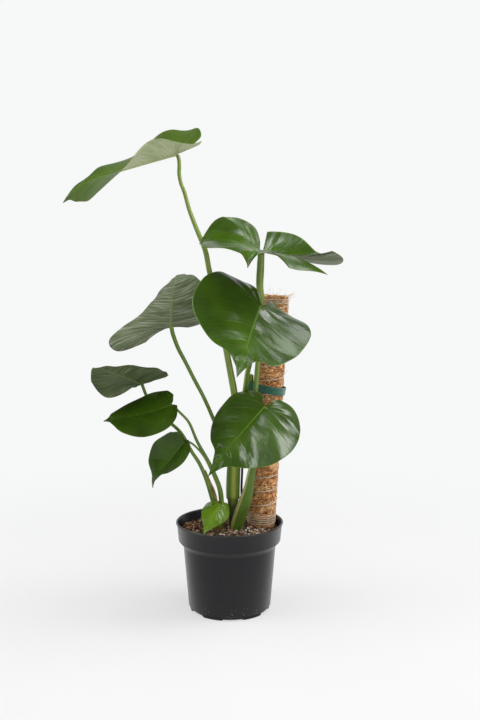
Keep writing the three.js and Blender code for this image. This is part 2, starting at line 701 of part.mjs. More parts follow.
class TwineCurve extends THREE.Curve {
  getPoint(share, target = new THREE.Vector3()) {
    const turns = TWINE_BUNCH.turns + TWINE_BODY.turns + TWINE_TOP.turns;
    const turn = share * turns;
    const angle = turn * 2 * Math.PI;
    const chord = Math.cos(Math.PI / TWINE_STEPS_PER_TURN);
    const radius = (COIR_RADIUS + GAP + TWINE_RADIUS) / chord;
    return target.set(Math.cos(angle) * radius, Math.sin(angle) * radius, twineHeight(turn));
  }
}

function poleTwine() {
  const turns = TWINE_BUNCH.turns + TWINE_BODY.turns + TWINE_TOP.turns;
  const section = new THREE.Shape();
  for (let i = 0; i < TWINE_SIDES; i += 1) {
    const angle = i * 2 * Math.PI / TWINE_SIDES;
    const corner = [Math.cos(angle) * TWINE_RADIUS, Math.sin(angle) * TWINE_RADIUS];
    if (i === 0) {
      section.moveTo(...corner);
    } else {
      section.lineTo(...corner);
    }
  }
  const cord = new THREE.ExtrudeGeometry(section, {
    steps: turns * TWINE_STEPS_PER_TURN,
    bevelEnabled: false,
    extrudePath: new TwineCurve(),
  });
  return solidOf(onPole(cord, 0));
}

// Strap: one loop round the pole and the top of the main stem, with overlapping ends at the back.
function tieStrap() {
  const pole = alongPole(STRAP_HEIGHT - POLE_AT_SOIL.z);
  const stem = new THREE.Vector3(...STEM_AT_STRAP);
  const poleLoop = { x: pole.x + 0.3, y: pole.y, radius: COIR_RADIUS + 3.3 };
  const stemLoop = { x: stem.x, y: stem.y, radius: 6.6 };
  const toPole = new THREE.Vector2(poleLoop.x - stemLoop.x, poleLoop.y - stemLoop.y);
  const onLoop = (loop, radius, angle) => new THREE.Vector2(
    loop.x + radius * Math.cos(angle),
    loop.y + radius * Math.sin(angle),
  );
  const bearing = toPole.angle();
  const open = Math.acos((poleLoop.radius - stemLoop.radius) / toPole.length());
  const ring = (extra, overlap) => {
    const points = [];
    for (let i = 0; i <= 14; i += 1) {
      const swing = -(Math.PI - open) + (2 * Math.PI - 2 * open) * i / 14;
      const angle = bearing + swing;
      const lap = overlap && i > 8 && i < 13 ? STRAP_THICKNESS : 0;
      points.push(onLoop(poleLoop, poleLoop.radius + extra + lap, angle));
    }
    for (let i = 0; i <= 6; i += 1) {
      const angle = bearing + Math.PI - open + 2 * open * i / 6;
      points.push(onLoop(stemLoop, stemLoop.radius + extra, angle));
    }
    return points;
  };
  const loop = new THREE.Shape(ring(STRAP_THICKNESS, true));
  loop.holes.push(new THREE.Path(ring(0, false)));
  const band = new THREE.ExtrudeGeometry(loop, { depth: STRAP_WIDTH, bevelEnabled: false });
  band.translate(-pole.x, -pole.y, -STRAP_WIDTH / 2);
  band.rotateY(degrees(STRAP_TILT));
  band.translate(pole.x, pole.y, STRAP_HEIGHT);
  return solidOf(band);
}

// Stems and roots

const STEM_ROUTE = [[7, 7, 108], [7, 6, 128], [6, 7, 157], [5, 9, 189], [7, 12, 229], [13, 16, 269],
  [25, 20, 316], [32, 23, 350], [35, 24, 374]];
const STEM_AT_STRAP = [32, 23, 350];
const STEM_WIDTH = [7.4, 7.4, 8, 8.6, 9, 9.4, 9.4, 9, 8.2, 7.2, 6, 5.2, 3.4];
const SHEATH_ROUTE = [[5.6, 8, 172], [5.2, 9, 190], [6.6, 11.6, 225], [9, 14, 246]];
const SHEATH_WIDTH = [10.7, 11, 10.8, 9.6];
const OFFSHOOT_ROUTE = [[-18, -6, 108], [-17, -6, 131], [-16, -6, 152], [-14, -6, 176]];
const OFFSHOOT_WIDTH = [8, 8, 7.4, 6];
const ROOT_ROUTE = [[14, 17, 270], [20, 21, 258], [21, 20, 243], [20, 18, 219], [19, 16, 187], [20, 15, 155],
  [21, 14, 118]];
const ROOT_WIDTH = [2.2, 2, 1.8, 1.8, 1.8, 1.8, 1.6];
const DRY_ROUTE = [[-21, -9.5, 166], [-25, -11, 190], [-32, -13, 210], [-38, -14, 228]];
const DRY_WIDTH = [4.4, 3.4, 2.2, 0.8];

function mainStem(grow = 0) {
  const stem = solidOf(stemGeometry(STEM_ROUTE, STEM_WIDTH, { sides: 10, steps: 12, grow }));
  const sheath = solidOf(stemGeometry(SHEATH_ROUTE, SHEATH_WIDTH, { sides: 10, steps: 4, grow }));
  return stem.add(sheath);
}

function offshootStem(grow = 0) {
  return solidOf(stemGeometry(OFFSHOOT_ROUTE, OFFSHOOT_WIDTH, { sides: 8, steps: 5, grow }));
}

function aerialRoot(grow = 0) {
  return solidOf(stemGeometry(ROOT_ROUTE, ROOT_WIDTH, { sides: 6, steps: 9, grow }));
}

function drySheath(grow = 0) {
  return solidOf(stemGeometry(DRY_ROUTE, DRY_WIDTH, { depth: 0.35, sides: 6, steps: 6, grow }));
}

function stalk(name, grow = 0) {
  const { route, width, depth } = STALKS[name];
  const steps = Math.max(12, Math.round(route.length * 1.2));
  return solidOf(stemGeometry(route, width, { depth, grow, steps }));
}

// Finishes

function finish(colour, roughness) {
  return new THREE.MeshStandardMaterial({ color: colour, roughness, metalness: 0 });
}

const FINISHES = {
  pot: () => finish(0x1b1c1e, 0.5),
  soil: () => finish(0x3b2a1f, 1),
  pole_stake: () => finish(0xa98a5c, 0.8),
  pole_coir: () => finish(0xa66f3d, 0.95),
  pole_twine: () => finish(0xc9b18c, 0.9),
  tie_strap: () => finish(0x2f6d58, 0.9),
  main_stem: () => finish(0x74823a, 0.5),
  offshoot_stem: () => finish(0x5f7a30, 0.5),
  aerial_root: () => finish(0x2b2620, 0.8),
  dry_sheath: () => finish(0x9a7a4c, 0.9),
  stalk: () => finish(0x7a8f3c, 0.45),
  leaf: () => finish(0x33581f, 0.35),
  newest: () => finish(0x6f9a24, 0.35),
};

// The whole plant, each piece trimmed clear of those it touches

const group = new THREE.Group();

function place(name, solid, material) {
  const mesh = new THREE.Mesh(geometryOf(solid), material);
  mesh.name = name;
  group.add(mesh);
}

const blades = Object.fromEntries(Object.keys(LEAVES).map((name) => [name, new Blade(LEAVES[name])]));
const grownStems = { main_stem: mainStem(GAP), offshoot_stem: offshootStem(GAP).subtract(mainStem(GAP)) };

place('pot', pot(), FINISHES.pot());
place('pole_stake', poleStake(), FINISHES.pole_stake());
place('pole_coir', poleCoir(), FINISHES.pole_coir());
place('pole_twine', poleTwine(), FINISHES.pole_twine());
place('tie_strap', tieStrap(), FINISHES.tie_strap());
place('main_stem', mainStem(), FINISHES.main_stem());
place('offshoot_stem', largestBody(offshootStem().subtract(grownStems.main_stem)), FINISHES.offshoot_stem());
place('aerial_root', largestBody(aerialRoot().subtract(grownStems.main_stem)), FINISHES.aerial_root());

const placedStalks = [];
for (const name of Object.keys(STALKS)) {
  const { leaf } = STALKS[name];
  let solid = stalk(name).subtract(solidOf(blades[leaf].geometry(GAP)));
  for (const stem of [...Object.values(grownStems), ...placedStalks]) {
    solid = solid.subtract(stem);
  }
  placedStalks.push(stalk(name, GAP));
  place(name, largestBody(solid), FINISHES.stalk());
}

let dry = drySheath().subtract(grownStems.offshoot_stem);
for (const stem of placedStalks) {
  dry = dry.subtract(stem);
}
place('dry_sheath', largestBody(dry), FINISHES.dry_sheath());

const inSoil = [
  poleStake(GAP),
  poleCoir(GAP),
  ...Object.values(grownStems),
  aerialRoot(GAP),
  stalk('stalk_lower', GAP),
];
place('soil', soil(inSoil), FINISHES.soil());

for (const name of Object.keys(LEAVES)) {
  const material = name === 'leaf_newest' ? FINISHES.newest() : FINISHES.leaf();
  place(name, solidOf(blades[name].geometry()), material);
}

export default group;
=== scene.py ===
"""Young swiss cheese plant in a black nursery pot, tied to a coir pole.

Finer leaves, stems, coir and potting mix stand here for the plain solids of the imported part.
Metres, Z up, +Y away from the front. The origin is the centre of the pot's underside.
The tables of sizes are in millimetres and degrees, as a grower would measure them.
"""

import logging
import math
import random
from bisect import bisect_right
from collections.abc import Callable, Sequence
from dataclasses import dataclass
from enum import Enum

import bmesh
import bpy
from mathutils import Matrix, Vector, noise

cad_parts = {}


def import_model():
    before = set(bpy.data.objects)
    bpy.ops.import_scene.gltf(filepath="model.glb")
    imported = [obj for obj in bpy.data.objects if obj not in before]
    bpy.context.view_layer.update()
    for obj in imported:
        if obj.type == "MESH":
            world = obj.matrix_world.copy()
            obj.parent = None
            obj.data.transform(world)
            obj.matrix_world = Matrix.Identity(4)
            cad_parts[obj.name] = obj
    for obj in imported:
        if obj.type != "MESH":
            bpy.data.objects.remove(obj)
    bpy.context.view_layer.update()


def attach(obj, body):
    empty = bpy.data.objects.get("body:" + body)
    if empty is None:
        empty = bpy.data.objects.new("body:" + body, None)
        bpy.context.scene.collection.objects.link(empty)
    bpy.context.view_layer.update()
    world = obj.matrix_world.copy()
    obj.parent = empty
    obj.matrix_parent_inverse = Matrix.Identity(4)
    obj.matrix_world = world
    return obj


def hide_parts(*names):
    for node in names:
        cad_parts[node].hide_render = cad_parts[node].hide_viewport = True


LOG = logging.getLogger("plant")
MM = 0.001
BODY = "root"
Triple = tuple[float, float, float]
Bend = float | tuple[float, ...]
Colour = tuple[float, float, float, float]
Mesh, Vert = bmesh.types.BMesh, bmesh.types.BMVert
Socket, Material = bpy.types.NodeSocket, bpy.types.Material


class Slot(Enum):
    """Material slot names, which the stems carry."""

    POT = "pot_plastic"
    SOIL = "potting_mix"
    STAKE = "stake_wood"
    COIR = "coir"
    TWINE = "twine"
    STRAP = "strap"
    STEM = "stem"
    ROOT = "root"
    HUSK = "dry_husk"
    STALK = "stalk"
    BLADE = "leaf_blade"
    YOUNG = "young_leaf"


class Side(Enum):
    """The two halves of a leaf blade, seen from the joint towards the tip."""

    LEFT = -1
    RIGHT = 1

    @property
    def other(self) -> "Side":
        """The half across the midrib."""
        return Side.RIGHT if self is Side.LEFT else Side.LEFT


def srgb(red: float, green: float, blue: float) -> Colour:
    """Turns a colour in 0..255 screen values into the linear values that a shader takes.

    Args:
        red: its red.
        green: its green.
        blue: its blue.

    Returns:
        The linear red, green and blue, and an alpha of 1.
    """

    def linear(value: float) -> float:
        """Linear value of one screen channel."""
        share = value / 255
        return share / 12.92 if share <= 0.04045 else ((share + 0.055) / 1.055) ** 2.4

    return (linear(red), linear(green), linear(blue), 1.0)


def clamp(value: float, low: float = 0.0, high: float = 1.0) -> float:
    """Keeps a value between two ends."""
    return min(high, max(low, value))


def ease(low: float, high: float, value: float) -> float:
    """Smooth step from 0 at one value to 1 at another."""
    share = clamp((value - low) / (high - low))
    return share * share * (3 - 2 * share)


def along_list(values: Sequence[float], share: float) -> float:
    """Value of a list at a share of its length, straight between its entries.

    Args:
        values: the list.
        share: 0 at its first entry, 1 at its last.

    Returns:
        The value there.
    """
    place = clamp(share) * (len(values) - 1)
    first = min(len(values) - 2, int(place))
    return values[first] + (values[first + 1] - values[first]) * (place - first)


# Shader graphs


def arithmetic(operation: str, swapped: bool = False) -> Callable[["Term", "Term | float"], "Term"]:
    """Makes an operator of Term; a swapped one takes its two values the other way round.

    Args:
        operation: the Math node's operation.
        swapped: whether the term comes second, as in 1 - mask.

    Returns:
        The operator.
    """

    def operator(term: "Term", other: "Term | float") -> "Term":
        """Adds the operator's Math node."""
        return term.calculate(operation, *((other, term) if swapped else (term, other)))

    return operator


class Term:
    """One value of a shader graph; arithmetic on it adds Math nodes."""

    __add__, __radd__ = arithmetic("ADD"), arithmetic("ADD", swapped=True)
    __sub__, __rsub__ = arithmetic("SUBTRACT"), arithmetic("SUBTRACT", swapped=True)
    __mul__, __rmul__ = arithmetic("MULTIPLY"), arithmetic("MULTIPLY", swapped=True)
    __pow__, larger = arithmetic("POWER"), arithmetic("MAXIMUM")

    def __init__(self, graph: "Graph", socket: Socket) -> None:
        """Keeps the graph and the socket that gives the value."""
        self.graph = graph
        self.socket = socket

    def calculate(self, operation: str, *values: "Term | float") -> "Term":
        """Adds a Math node on some values."""
        made = self.graph.node("ShaderNodeMath", {"operation": operation}, dict(enumerate(values)))
        return Term(self.graph, made.outputs[0])

    def __abs__(self) -> "Term":
        """Size without its sign."""
        return self.calculate("ABSOLUTE", self)

    def step(self, low: float, high: float, start: float = 0.0, end: float = 1.0) -> "Term":
        """Smooth step from start to end as the term goes from low to high, which may be the lower.

        Args:
            low: value of the term at one end of the step.
            high: its value at the other end.
            start: what the step gives at low.
            end: what it gives at high.

        Returns:
            The step.
        """
        inputs = {0: self, 1: low, 2: high, 3: start, 4: end}
        made = self.graph.node("ShaderNodeMapRange", {"interpolation_type": "SMOOTHSTEP"}, inputs)
        return Term(self.graph, made.outputs[0])

    def apart(self, spacing: float) -> "Term":
        """Distance to the nearest whole multiple of a spacing, in spacings."""
        return abs(self.calculate("FRACT", self * (1 / spacing) + 0.5) - 0.5)


class Graph:
    """Node graph of a material or a world."""

    MIX_FIRST, MIX_SECOND, MIX_RESULT = 6, 7, 2

    def __init__(self, owner: Material | bpy.types.World) -> None:
        """Empties the owner's graph.

        Args:
            owner: the material or the world.
        """
        owner.use_nodes = True
        self.owner = owner
        self.tree = owner.node_tree
        self.tree.nodes.clear()

    def node(
        self,
        kind: str,
        settings: dict[str, object] | None = None,
        inputs: dict[str | int, object] | None = None,
    ) -> bpy.types.Node:
        """Adds any node.

        Args:
            kind: the node's type name.
            settings: its own settings.
            inputs: values, sockets or terms for its sockets, by name or number.

        Returns:
            The node.
        """
        made = self.tree.nodes.new(kind)
        for key, value in (settings or {}).items():
            setattr(made, key, value)
        self.feed(made, inputs or {})
        return made

    def feed(self, node: bpy.types.Node, inputs: dict[str | int, object]) -> None:
        """Sets or links a node's sockets, by name or number.

        Args:
            node: the node.
            inputs: values, sockets or terms for its sockets.
        """
        for key, value in inputs.items():
            source = value.socket if isinstance(value, Term) else value
            if isinstance(source, Socket):
                self.tree.links.new(source, node.inputs[key])
            else:
                node.inputs[key].default_value = source

    def place(self) -> Socket:
        """Object coordinates of the surface."""
        return self.node("ShaderNodeTexCoord").outputs["Object"]

    def own(self, name: str) -> tuple[Term, Term, Term]:
        """The three numbers of one of the mesh's own vector attributes."""
        return self.parts(self.node("ShaderNodeAttribute", {"attribute_name": name}).outputs["Vector"])

    def parts(self, at: Socket) -> tuple[Term, Term, Term]:
        """The three numbers of a vector."""
        made = self.node("ShaderNodeSeparateXYZ", {}, {0: at})
        return tuple(Term(self, made.outputs[i]) for i in range(3))

    def vector(self, x: Term | float, y: Term | float, z: Term | float) -> Socket:
        """A vector of three values."""
        return self.node("ShaderNodeCombineXYZ", {}, {0: x, 1: y, 2: z}).outputs[0]

    def mapped(self, at: Socket, scale: Triple, turn: Triple = (0, 0, 0)) -> Socket:
        """Coordinates turned by degrees and stretched."""
        inputs = {"Vector": at, "Rotation": tuple(map(math.radians, turn)), "Scale": scale}
        return self.node("ShaderNodeMapping", {}, inputs).outputs[0]

    def cloud(self, at: Socket, scale: float, detail: float = 3, distortion: float = 0) -> Term:
        """Soft noise round 0.5 at a number of blobs a metre."""
        inputs = {"Vector": at, "Scale": scale, "Detail": detail, "Distortion": distortion}
        return Term(self, self.node("ShaderNodeTexNoise", {}, inputs).outputs[0])

    def cells(self, at: Socket, scale: float) -> Term:
        """Distance to the nearest of some scattered points."""
        return Term(self, self.node("ShaderNodeTexVoronoi", {}, {"Vector": at, "Scale": scale}).outputs[0])

    def mix(self, share: Term | float, first: object, second: object) -> Socket:
        """Colour between two others."""
        inputs = {0: share, self.MIX_FIRST: first, self.MIX_SECOND: second}
        return self.node("ShaderNodeMix", {"data_type": "RGBA"}, inputs).outputs[self.MIX_RESULT]

    def relief(self, height: Term, depth: float) -> Socket:
        """Normal of a low relief whose height runs from 0 to 1 over a depth in millimetres."""
        inputs = {"Strength": 1.0, "Distance": depth * MM, "Height": height}
        return self.node("ShaderNodeBump", {}, inputs).outputs[0]


class Paint(Graph):
    """Node graph of a material, ending in a Principled shader."""

    def __init__(self, name: str) -> None:
        """Makes the material with its shader and output.

        Args:
            name: name of the material.
        """
        super().__init__(bpy.data.materials.new(name))
        self.shader = self.node("ShaderNodeBsdfPrincipled")
        self.node("ShaderNodeOutputMaterial", {}, {"Surface": self.shader.outputs[0]})

    def finish(self, **sockets: object) -> Material:
        """Sets the shader's sockets; a name's underscores stand for spaces."""
        self.feed(self.shader, {key.replace("_", " "): value for key, value in sockets.items()})
        return self.owner


# Finishes


@dataclass(frozen=True)
class LeafFinish:
    """Glossy upper face and pale dull underside of a blade, with its veins."""

    name: str
    deep: Colour = srgb(38, 60, 8)
    fresh: Colour = srgb(66, 98, 14)
    vein: Colour = srgb(92, 124, 40)
    rib: Colour = srgb(126, 160, 62)
    under_deep: Colour = srgb(80, 93, 58)
    under_fresh: Colour = srgb(104, 114, 84)
    under_rib: Colour = srgb(112, 126, 74)
    # The underside's fold colour is painted shade in its wrinkles.
    under_painted_crease_shade: Colour = srgb(44, 54, 28)
    # The underside's sheen colour is a painted sheen between its wrinkles.
    under_painted_sheen: Colour = srgb(172, 176, 162)
    mark: Colour = srgb(120, 84, 30)
    gloss: float = 0.16
    under_gloss: float = 0.5
    shine: float = 0.5
    swell: float = 6.0

    SMALL_VEINS = 0.2

    def material(self) -> Material:
        """Builds the material, which reads the blade's own row, share and side.

        Returns:
            The material.
        """
        graph = Paint(self.name)
        share, row, under = graph.own("blade")
        flat_x, flat_y, mark = graph.own("flat")
        out = abs(share)
        flat = graph.vector(flat_x, flat_y, 0.0)
        broad = graph.cloud(flat, 3, 2)
        fine = graph.cloud(flat, 60, 3)
        veins = row + (graph.cloud(flat, 14, 2) - 0.5) * 0.16
        lateral = veins.apart(1.0).step(0.055, 0.012) * out.step(0.92, 0.35)
        small = veins.apart(self.SMALL_VEINS).step(0.3, 0.05) * out.step(0.0, 0.12)
        rib = out.step(0.02, 0.007)
        edge = out.step(0.982, 1.0)
        top = graph.mix(broad.step(0.2, 0.8) * 0.7 + out.step(0.7, 0.0) * 0.3, self.deep, self.fresh)
        top = graph.mix(small * 0.05 + fine * 0.06, top, self.vein)
        top = graph.mix(lateral * 0.12, top, self.vein)
        top = graph.mix(rib * (0.35 + row.step(7.5, 2.5) * 0.4), top, self.rib)
        top = graph.mix(edge * 0.5, top, self.rib)
        top = graph.mix(mark, top, self.mark)
        swell = graph.cloud(graph.vector(veins * 1.3, share * 1.6, 0.0), 1.0, 2)
        fold = graph.cloud(graph.vector(veins * 8, share * 1.2, 0.0), 1.0, 3)
        below = graph.mix(broad.step(0.2, 0.8), self.under_deep, self.under_fresh)
        # Painted shade along the underside's wrinkles.
        below = graph.mix(fold.step(0.5, 0.66) * out.step(0.0, 0.2) * 0.55, below, self.under_painted_crease_shade)
        # Painted sheen between the underside's wrinkles.
        below = graph.mix(fold.step(0.52, 0.34) * 0.5, below, self.under_painted_sheen)
        below = graph.mix(lateral * 0.35 + small * 0.1, below, self.under_rib)
        below = graph.mix(out.step(0.03, 0.014) * 0.6, below, self.under_rib)
        ripple = veins.apart(self.SMALL_VEINS) * out.step(0.0, 0.15)
        above = 0.5 - lateral * 0.3 + ripple * swell.step(0.4, 0.6) * 0.4 + fine * 0.06
        above = above + (swell - 0.5) * self.swell * (1 - out * 0.65)
        height = above * (1 - under) + (lateral * 0.9 + ripple + fold * 3 + fine * 0.2) * under
        return graph.finish(
            Base_Color=graph.mix(under, top, below),
            Roughness=(self.gloss + broad * 0.1 + fine * 0.06) * (1 - under) + under * self.under_gloss,
            Specular_IOR_Level=self.shine,
            Normal=graph.relief(height, 0.45),
        )


@dataclass(frozen=True)
class StemFinish:
    """Green stem with paler lengthwise lines and a darker foot."""

    name: str
    green: Colour = srgb(94, 126, 34)
    shade: Colour = srgb(66, 94, 24)
    stripe: Colour = srgb(158, 178, 84)
    foot: Colour = srgb(104, 88, 44)
    foot_top: float = 0.15
    stripe_at: float = 0.35
    stripe_width: float = 0.3
    stripe_strength: float = 0.6
    gloss: float = 0.42

    def material(self) -> Material:
        """Builds the material, which reads the place round and along the stem.

        Returns:
            The material.
        """
        graph = Paint(self.name)
        across, back, run = graph.own("run")
        lines = graph.cloud(graph.vector(across * 9, back * 9, run * 12), 1.0, 3)
        blotch = graph.cloud(graph.place(), 60, 4)
        colour = graph.mix(blotch.step(0.3, 0.8) * 0.5 + lines * 0.3, self.green, self.shade)
        near = abs(across - self.stripe_at).step(self.stripe_width, 0.04) * back.step(0.5, -0.4)
        colour = graph.mix(near * self.stripe_strength * lines.step(0.2, 0.6), colour, self.stripe)
        _, _, level = graph.parts(graph.place())
        # Below foot_top the stem takes its foot colour: brown wear on some stems, and a darker green painted
        # shade near the soil on others.
        foot_wear_and_shade = (level + (blotch - 0.5) * 0.03).step(self.foot_top, self.foot_top - 0.02)
        colour = graph.mix(foot_wear_and_shade, colour, self.foot)
        return graph.finish(
            Base_Color=colour,
            Roughness=self.gloss + blotch * 0.14 + foot_wear_and_shade * 0.2,
            Normal=graph.relief(lines * 0.7 + blotch * 0.3, 0.15),
        )


@dataclass(frozen=True)
class MottledFinish:
    """Matt or satin surface with two tones of noise and a fine grain."""

    name: str
    dark: Colour
    light: Colour
    scale: float = 80.0
    roughness: float = 0.8
    depth: float = 0.5
    stretch: Triple = (1, 1, 1)
    sheen: float = 0.0

    def material(self) -> Material:
        """Builds the material on Object coordinates.

        Returns:
            The material.
        """
        graph = Paint(self.name)
        at = graph.mapped(graph.place(), self.stretch)
        broad = graph.cloud(at, self.scale, 4)
        fine = graph.cloud(at, self.scale * 6, 3)
        return graph.finish(
            Base_Color=graph.mix((broad * 0.6 + fine * 0.4).step(0.32, 0.68), self.dark, self.light),
            Roughness=self.roughness + (fine - 0.5) * 0.16,
            Sheen_Weight=self.sheen,
            Normal=graph.relief(broad * 0.4 + fine * 0.6, self.depth),
        )


@dataclass(frozen=True)
class GrainFinish:
    """Finish of loose grains, each with its own tone."""

    name: str
    dark: Colour
    light: Colour
    roughness: float = 0.9

    def material(self) -> Material:
        """Builds the material, which reads each grain's own tone.

        Returns:
            The material.
        """
        graph = Paint(self.name)
        tone, _, _ = graph.own("tone")
        fine = graph.cloud(graph.place(), 900, 2)
        return graph.finish(
            Base_Color=graph.mix(tone * 0.8 + fine * 0.2, self.dark, self.light),
            Roughness=self.roughness + (fine - 0.5) * 0.1,
            Normal=graph.relief(fine, 0.3),
        )


@dataclass(frozen=True)
class CoirFinish:
    """Matted coconut fibre: light strands over dark gaps."""

    name: str = "coir_mat"
    # The gap colour is painted shade between the strands, and the strand colour is a painted highlight on
    # their tops.
    gap: Colour = srgb(116, 64, 34)
    body: Colour = srgb(250, 178, 110)
    strand: Colour = srgb(255, 228, 174)

    def material(self) -> Material:
        """Builds the material from two layers of curly strands.

        Returns:
            The material.
        """
        graph = Paint(self.name)
        place = graph.place()
        strands = None
        for turn, scale in (((20, 5, 0), 62.0), ((-15, -10, 60), 80.0)):
            layer = graph.cloud(graph.mapped(place, (1, 1, 2.4), turn), scale, 2, 0.8) * 7
            layer = layer.apart(1.0).step(0.3, 0.1)
            strands = layer if strands is None else strands.larger(layer)
        patch = graph.cloud(place, 90, 4)
        # Painted shade in the gaps between the strands.
        colour = graph.mix(strands * 0.8 + patch.step(0.35, 0.75) * 0.2, self.gap, self.body)
        # Painted highlight on the strands.
        colour = graph.mix(strands * patch.step(0.4, 0.66) * 0.55, colour, self.strand)
        return graph.finish(
            Base_Color=colour,
            Roughness=0.92 + (patch - 0.5) * 0.1,
            Normal=graph.relief(strands * 0.8 + patch * 0.2, 2.0),
        )


@dataclass(frozen=True)
class PlasticFinish:
    """Thin black nursery plastic with dust and a scuffed rim."""

    name: str = "pot_plastic_black"
    black: Colour = srgb(12, 13, 18)
    dust: Colour = srgb(74, 73, 72)
    speck: Colour = srgb(170, 166, 158)

    def material(self) -> Material:
        """Builds the material on Object coordinates.

        Returns:
            The material.
        """
        graph = Paint(self.name)
        place = graph.place()
        _, _, height = graph.parts(place)
        broad = graph.cloud(place, 14, 4)
        fine = graph.cloud(place, 700, 2)
        scratch = graph.cloud(graph.mapped(place, (1, 1, 0.08)), 320, 2)
        rim = height.step(0.1385, 0.1412) * broad.step(0.3, 0.6)
        low = height.step(0.03, 0.004)
        specks = graph.cells(place, 240).step(0.26, 0.14) * graph.cloud(place, 60, 2).step(0.45, 0.7)
        specks = specks * (low + 0.04)
        colour = graph.mix(rim * 0.5 + scratch.step(0.6, 0.8) * 0.05 + broad * 0.08, self.black, self.dust)
        colour = graph.mix(specks * 0.7, colour, self.speck)
        return graph.finish(
            Base_Color=colour,
            Roughness=0.16 + broad * 0.12 + scratch * 0.06,
            Specular_IOR_Level=0.3,
            Normal=graph.relief(fine * 0.6 + scratch * 0.4, 0.12),
        )


Finish = LeafFinish | StemFinish | MottledFinish

LEAF_GREEN = LeafFinish("leaf_green")
# Lit copy of the leaf colours for the top leaf: its paler top and much paler underside are painted light from
# above and from the floor.
LEAF_SATIN_PAINTED_LIT = LeafFinish(
    "leaf_green_satin_painted_lit",
    deep=srgb(50, 70, 14),
    fresh=srgb(72, 94, 24),
    under_deep=srgb(146, 158, 104),
    under_fresh=srgb(170, 180, 132),
    under_rib=srgb(180, 192, 134),
    under_painted_crease_shade=srgb(124, 136, 88),
    under_painted_sheen=srgb(190, 196, 160),
    gloss=0.34,
    shine=0.25,
)
# Shaded copy of the leaf colours for the low leaves: their darker undersides are painted shade on leaves
# turned away from the light.
LEAF_DULL_PAINTED_SHADE = LeafFinish(
    "leaf_green_dull_painted_shade",
    under_deep=srgb(54, 70, 34),
    under_fresh=srgb(80, 94, 56),
    under_painted_sheen=srgb(118, 128, 100),
    gloss=0.24,
    under_gloss=0.85,
    shine=0.25,
    swell=2.0,
)
LEAF_YOUNG = LeafFinish(
    "leaf_young",
    deep=srgb(78, 112, 10),
    fresh=srgb(104, 138, 16),
    vein=srgb(140, 172, 50),
    rib=srgb(160, 190, 76),
    under_deep=srgb(120, 150, 60),
    under_fresh=srgb(140, 168, 76),
    swell=1.0,
)
STALK_GREEN = StemFinish("stalk_green")
# Lit copy of the stalk colours for the upper stalks: their paler green is painted light.
STALK_PAINTED_LIT = StemFinish(
    "stalk_green_painted_lit", green=srgb(128, 150, 62), shade=srgb(92, 116, 42), stripe=srgb(176, 188, 112)
)
# Its darker green foot is painted shade near the soil.
STALK_EDGED = StemFinish(
    "stalk_green_edged",
    stripe=srgb(206, 194, 124),
    stripe_at=-0.8,
    stripe_width=0.35,
    stripe_strength=0.9,
    foot=srgb(70, 84, 34),
    foot_top=0.14,
)
# Its darker green foot is painted shade near the soil.
STEM_OLIVE = StemFinish(
    "stem_olive",
    green=srgb(92, 124, 24),
    stripe=srgb(188, 192, 78),
    stripe_at=0.05,
    stripe_width=0.6,
    stripe_strength=0.8,
    foot=srgb(56, 72, 24),
    foot_top=0.184,
)
OFFSHOOT_GREEN = StemFinish("offshoot_green", green=srgb(88, 118, 40), foot=srgb(112, 98, 48))
ROOT_BARK = MottledFinish("root_bark", srgb(34, 28, 24), srgb(78, 66, 52), 300)
DRY_HUSK = MottledFinish(
    "dry_husk_brown", srgb(120, 84, 44), srgb(196, 164, 112), 160, 0.85, stretch=(1, 1, 0.15)
)
STAKE_WOOD = MottledFinish(
    "stake_pale_wood", srgb(120, 92, 56), srgb(176, 142, 98), 120, 0.75, stretch=(1, 1, 0.1)
)
CORD_PALE = MottledFinish("cord_pale", srgb(206, 190, 160), srgb(250, 242, 222), 900, 0.85, 0.4)
COIR_FIBRE = MottledFinish("coir_fibre", srgb(164, 108, 60), srgb(240, 200, 148), 90, 0.8, 0.1)
STRAP_FELT = MottledFinish(
    "strap_green_felt", srgb(22, 74, 58), srgb(62, 122, 100), 700, 0.95, 0.5, sheen=0.5
)
PEAT_DARK = MottledFinish("peat_dark", srgb(20, 13, 9), srgb(78, 52, 36), 260, 0.95, 1.6)
PEAT_CRUMBS = GrainFinish("peat_crumbs", srgb(16, 12, 10), srgb(134, 104, 80))
BARK_CHIPS = GrainFinish("bark_chips", srgb(20, 14, 11), srgb(206, 156, 114))
PERLITE_WHITE = GrainFinish("perlite_white", srgb(200, 192, 176), srgb(246, 242, 232), 0.8)


# Meshes


def shaped_grid(
    bm: Mesh,
    columns: int,
    rows: int,
    shape: Callable[[Vert, int, int], None],
) -> list[Vert]:
    """Adds a grid and shapes it point by point.

    Args:
        bm: mesh that the grid goes into.
        columns: faces across.
        rows: faces along.
        shape: puts a point in its place, given its column and row numbers.

    Returns:
        The grid's points.
    """
    made = bmesh.ops.create_grid(bm, x_segments=columns, y_segments=rows, size=0.5)["verts"]
    for vert in made:
        shape(vert, round((vert.co.x + 0.5) * columns), round((vert.co.y + 0.5) * rows))
    return made


def turned(bm: Mesh, profile: Sequence[tuple[float, float]], steps: int) -> None:
    """Spins a profile of (radius, height) points in millimetres round the upright axis.

    Args:
        bm: the mesh to add to.
        profile: its points, from one end to the other.
        steps: number of faces round the axis.
    """
    verts = [bm.verts.new((radius * MM, 0.0, height * MM)) for radius, height in profile]
    edges = [bm.edges.new(pair) for pair in zip(verts, verts[1:])]
    bmesh.ops.spin(
        bm,
        geom=[*verts, *edges],
        cent=(0, 0, 0),
        axis=(0, 0, 1),
        angle=2 * math.pi,
        steps=steps,
        use_merge=True,
    )
    merge(bm)


def kept_by(bm: Mesh, name: str) -> bmesh.types.BMLayerItem:
    """The vector of some name that each point keeps for the finish."""
    layers = bm.verts.layers.float_vector
    return layers.get(name) or layers.new(name)


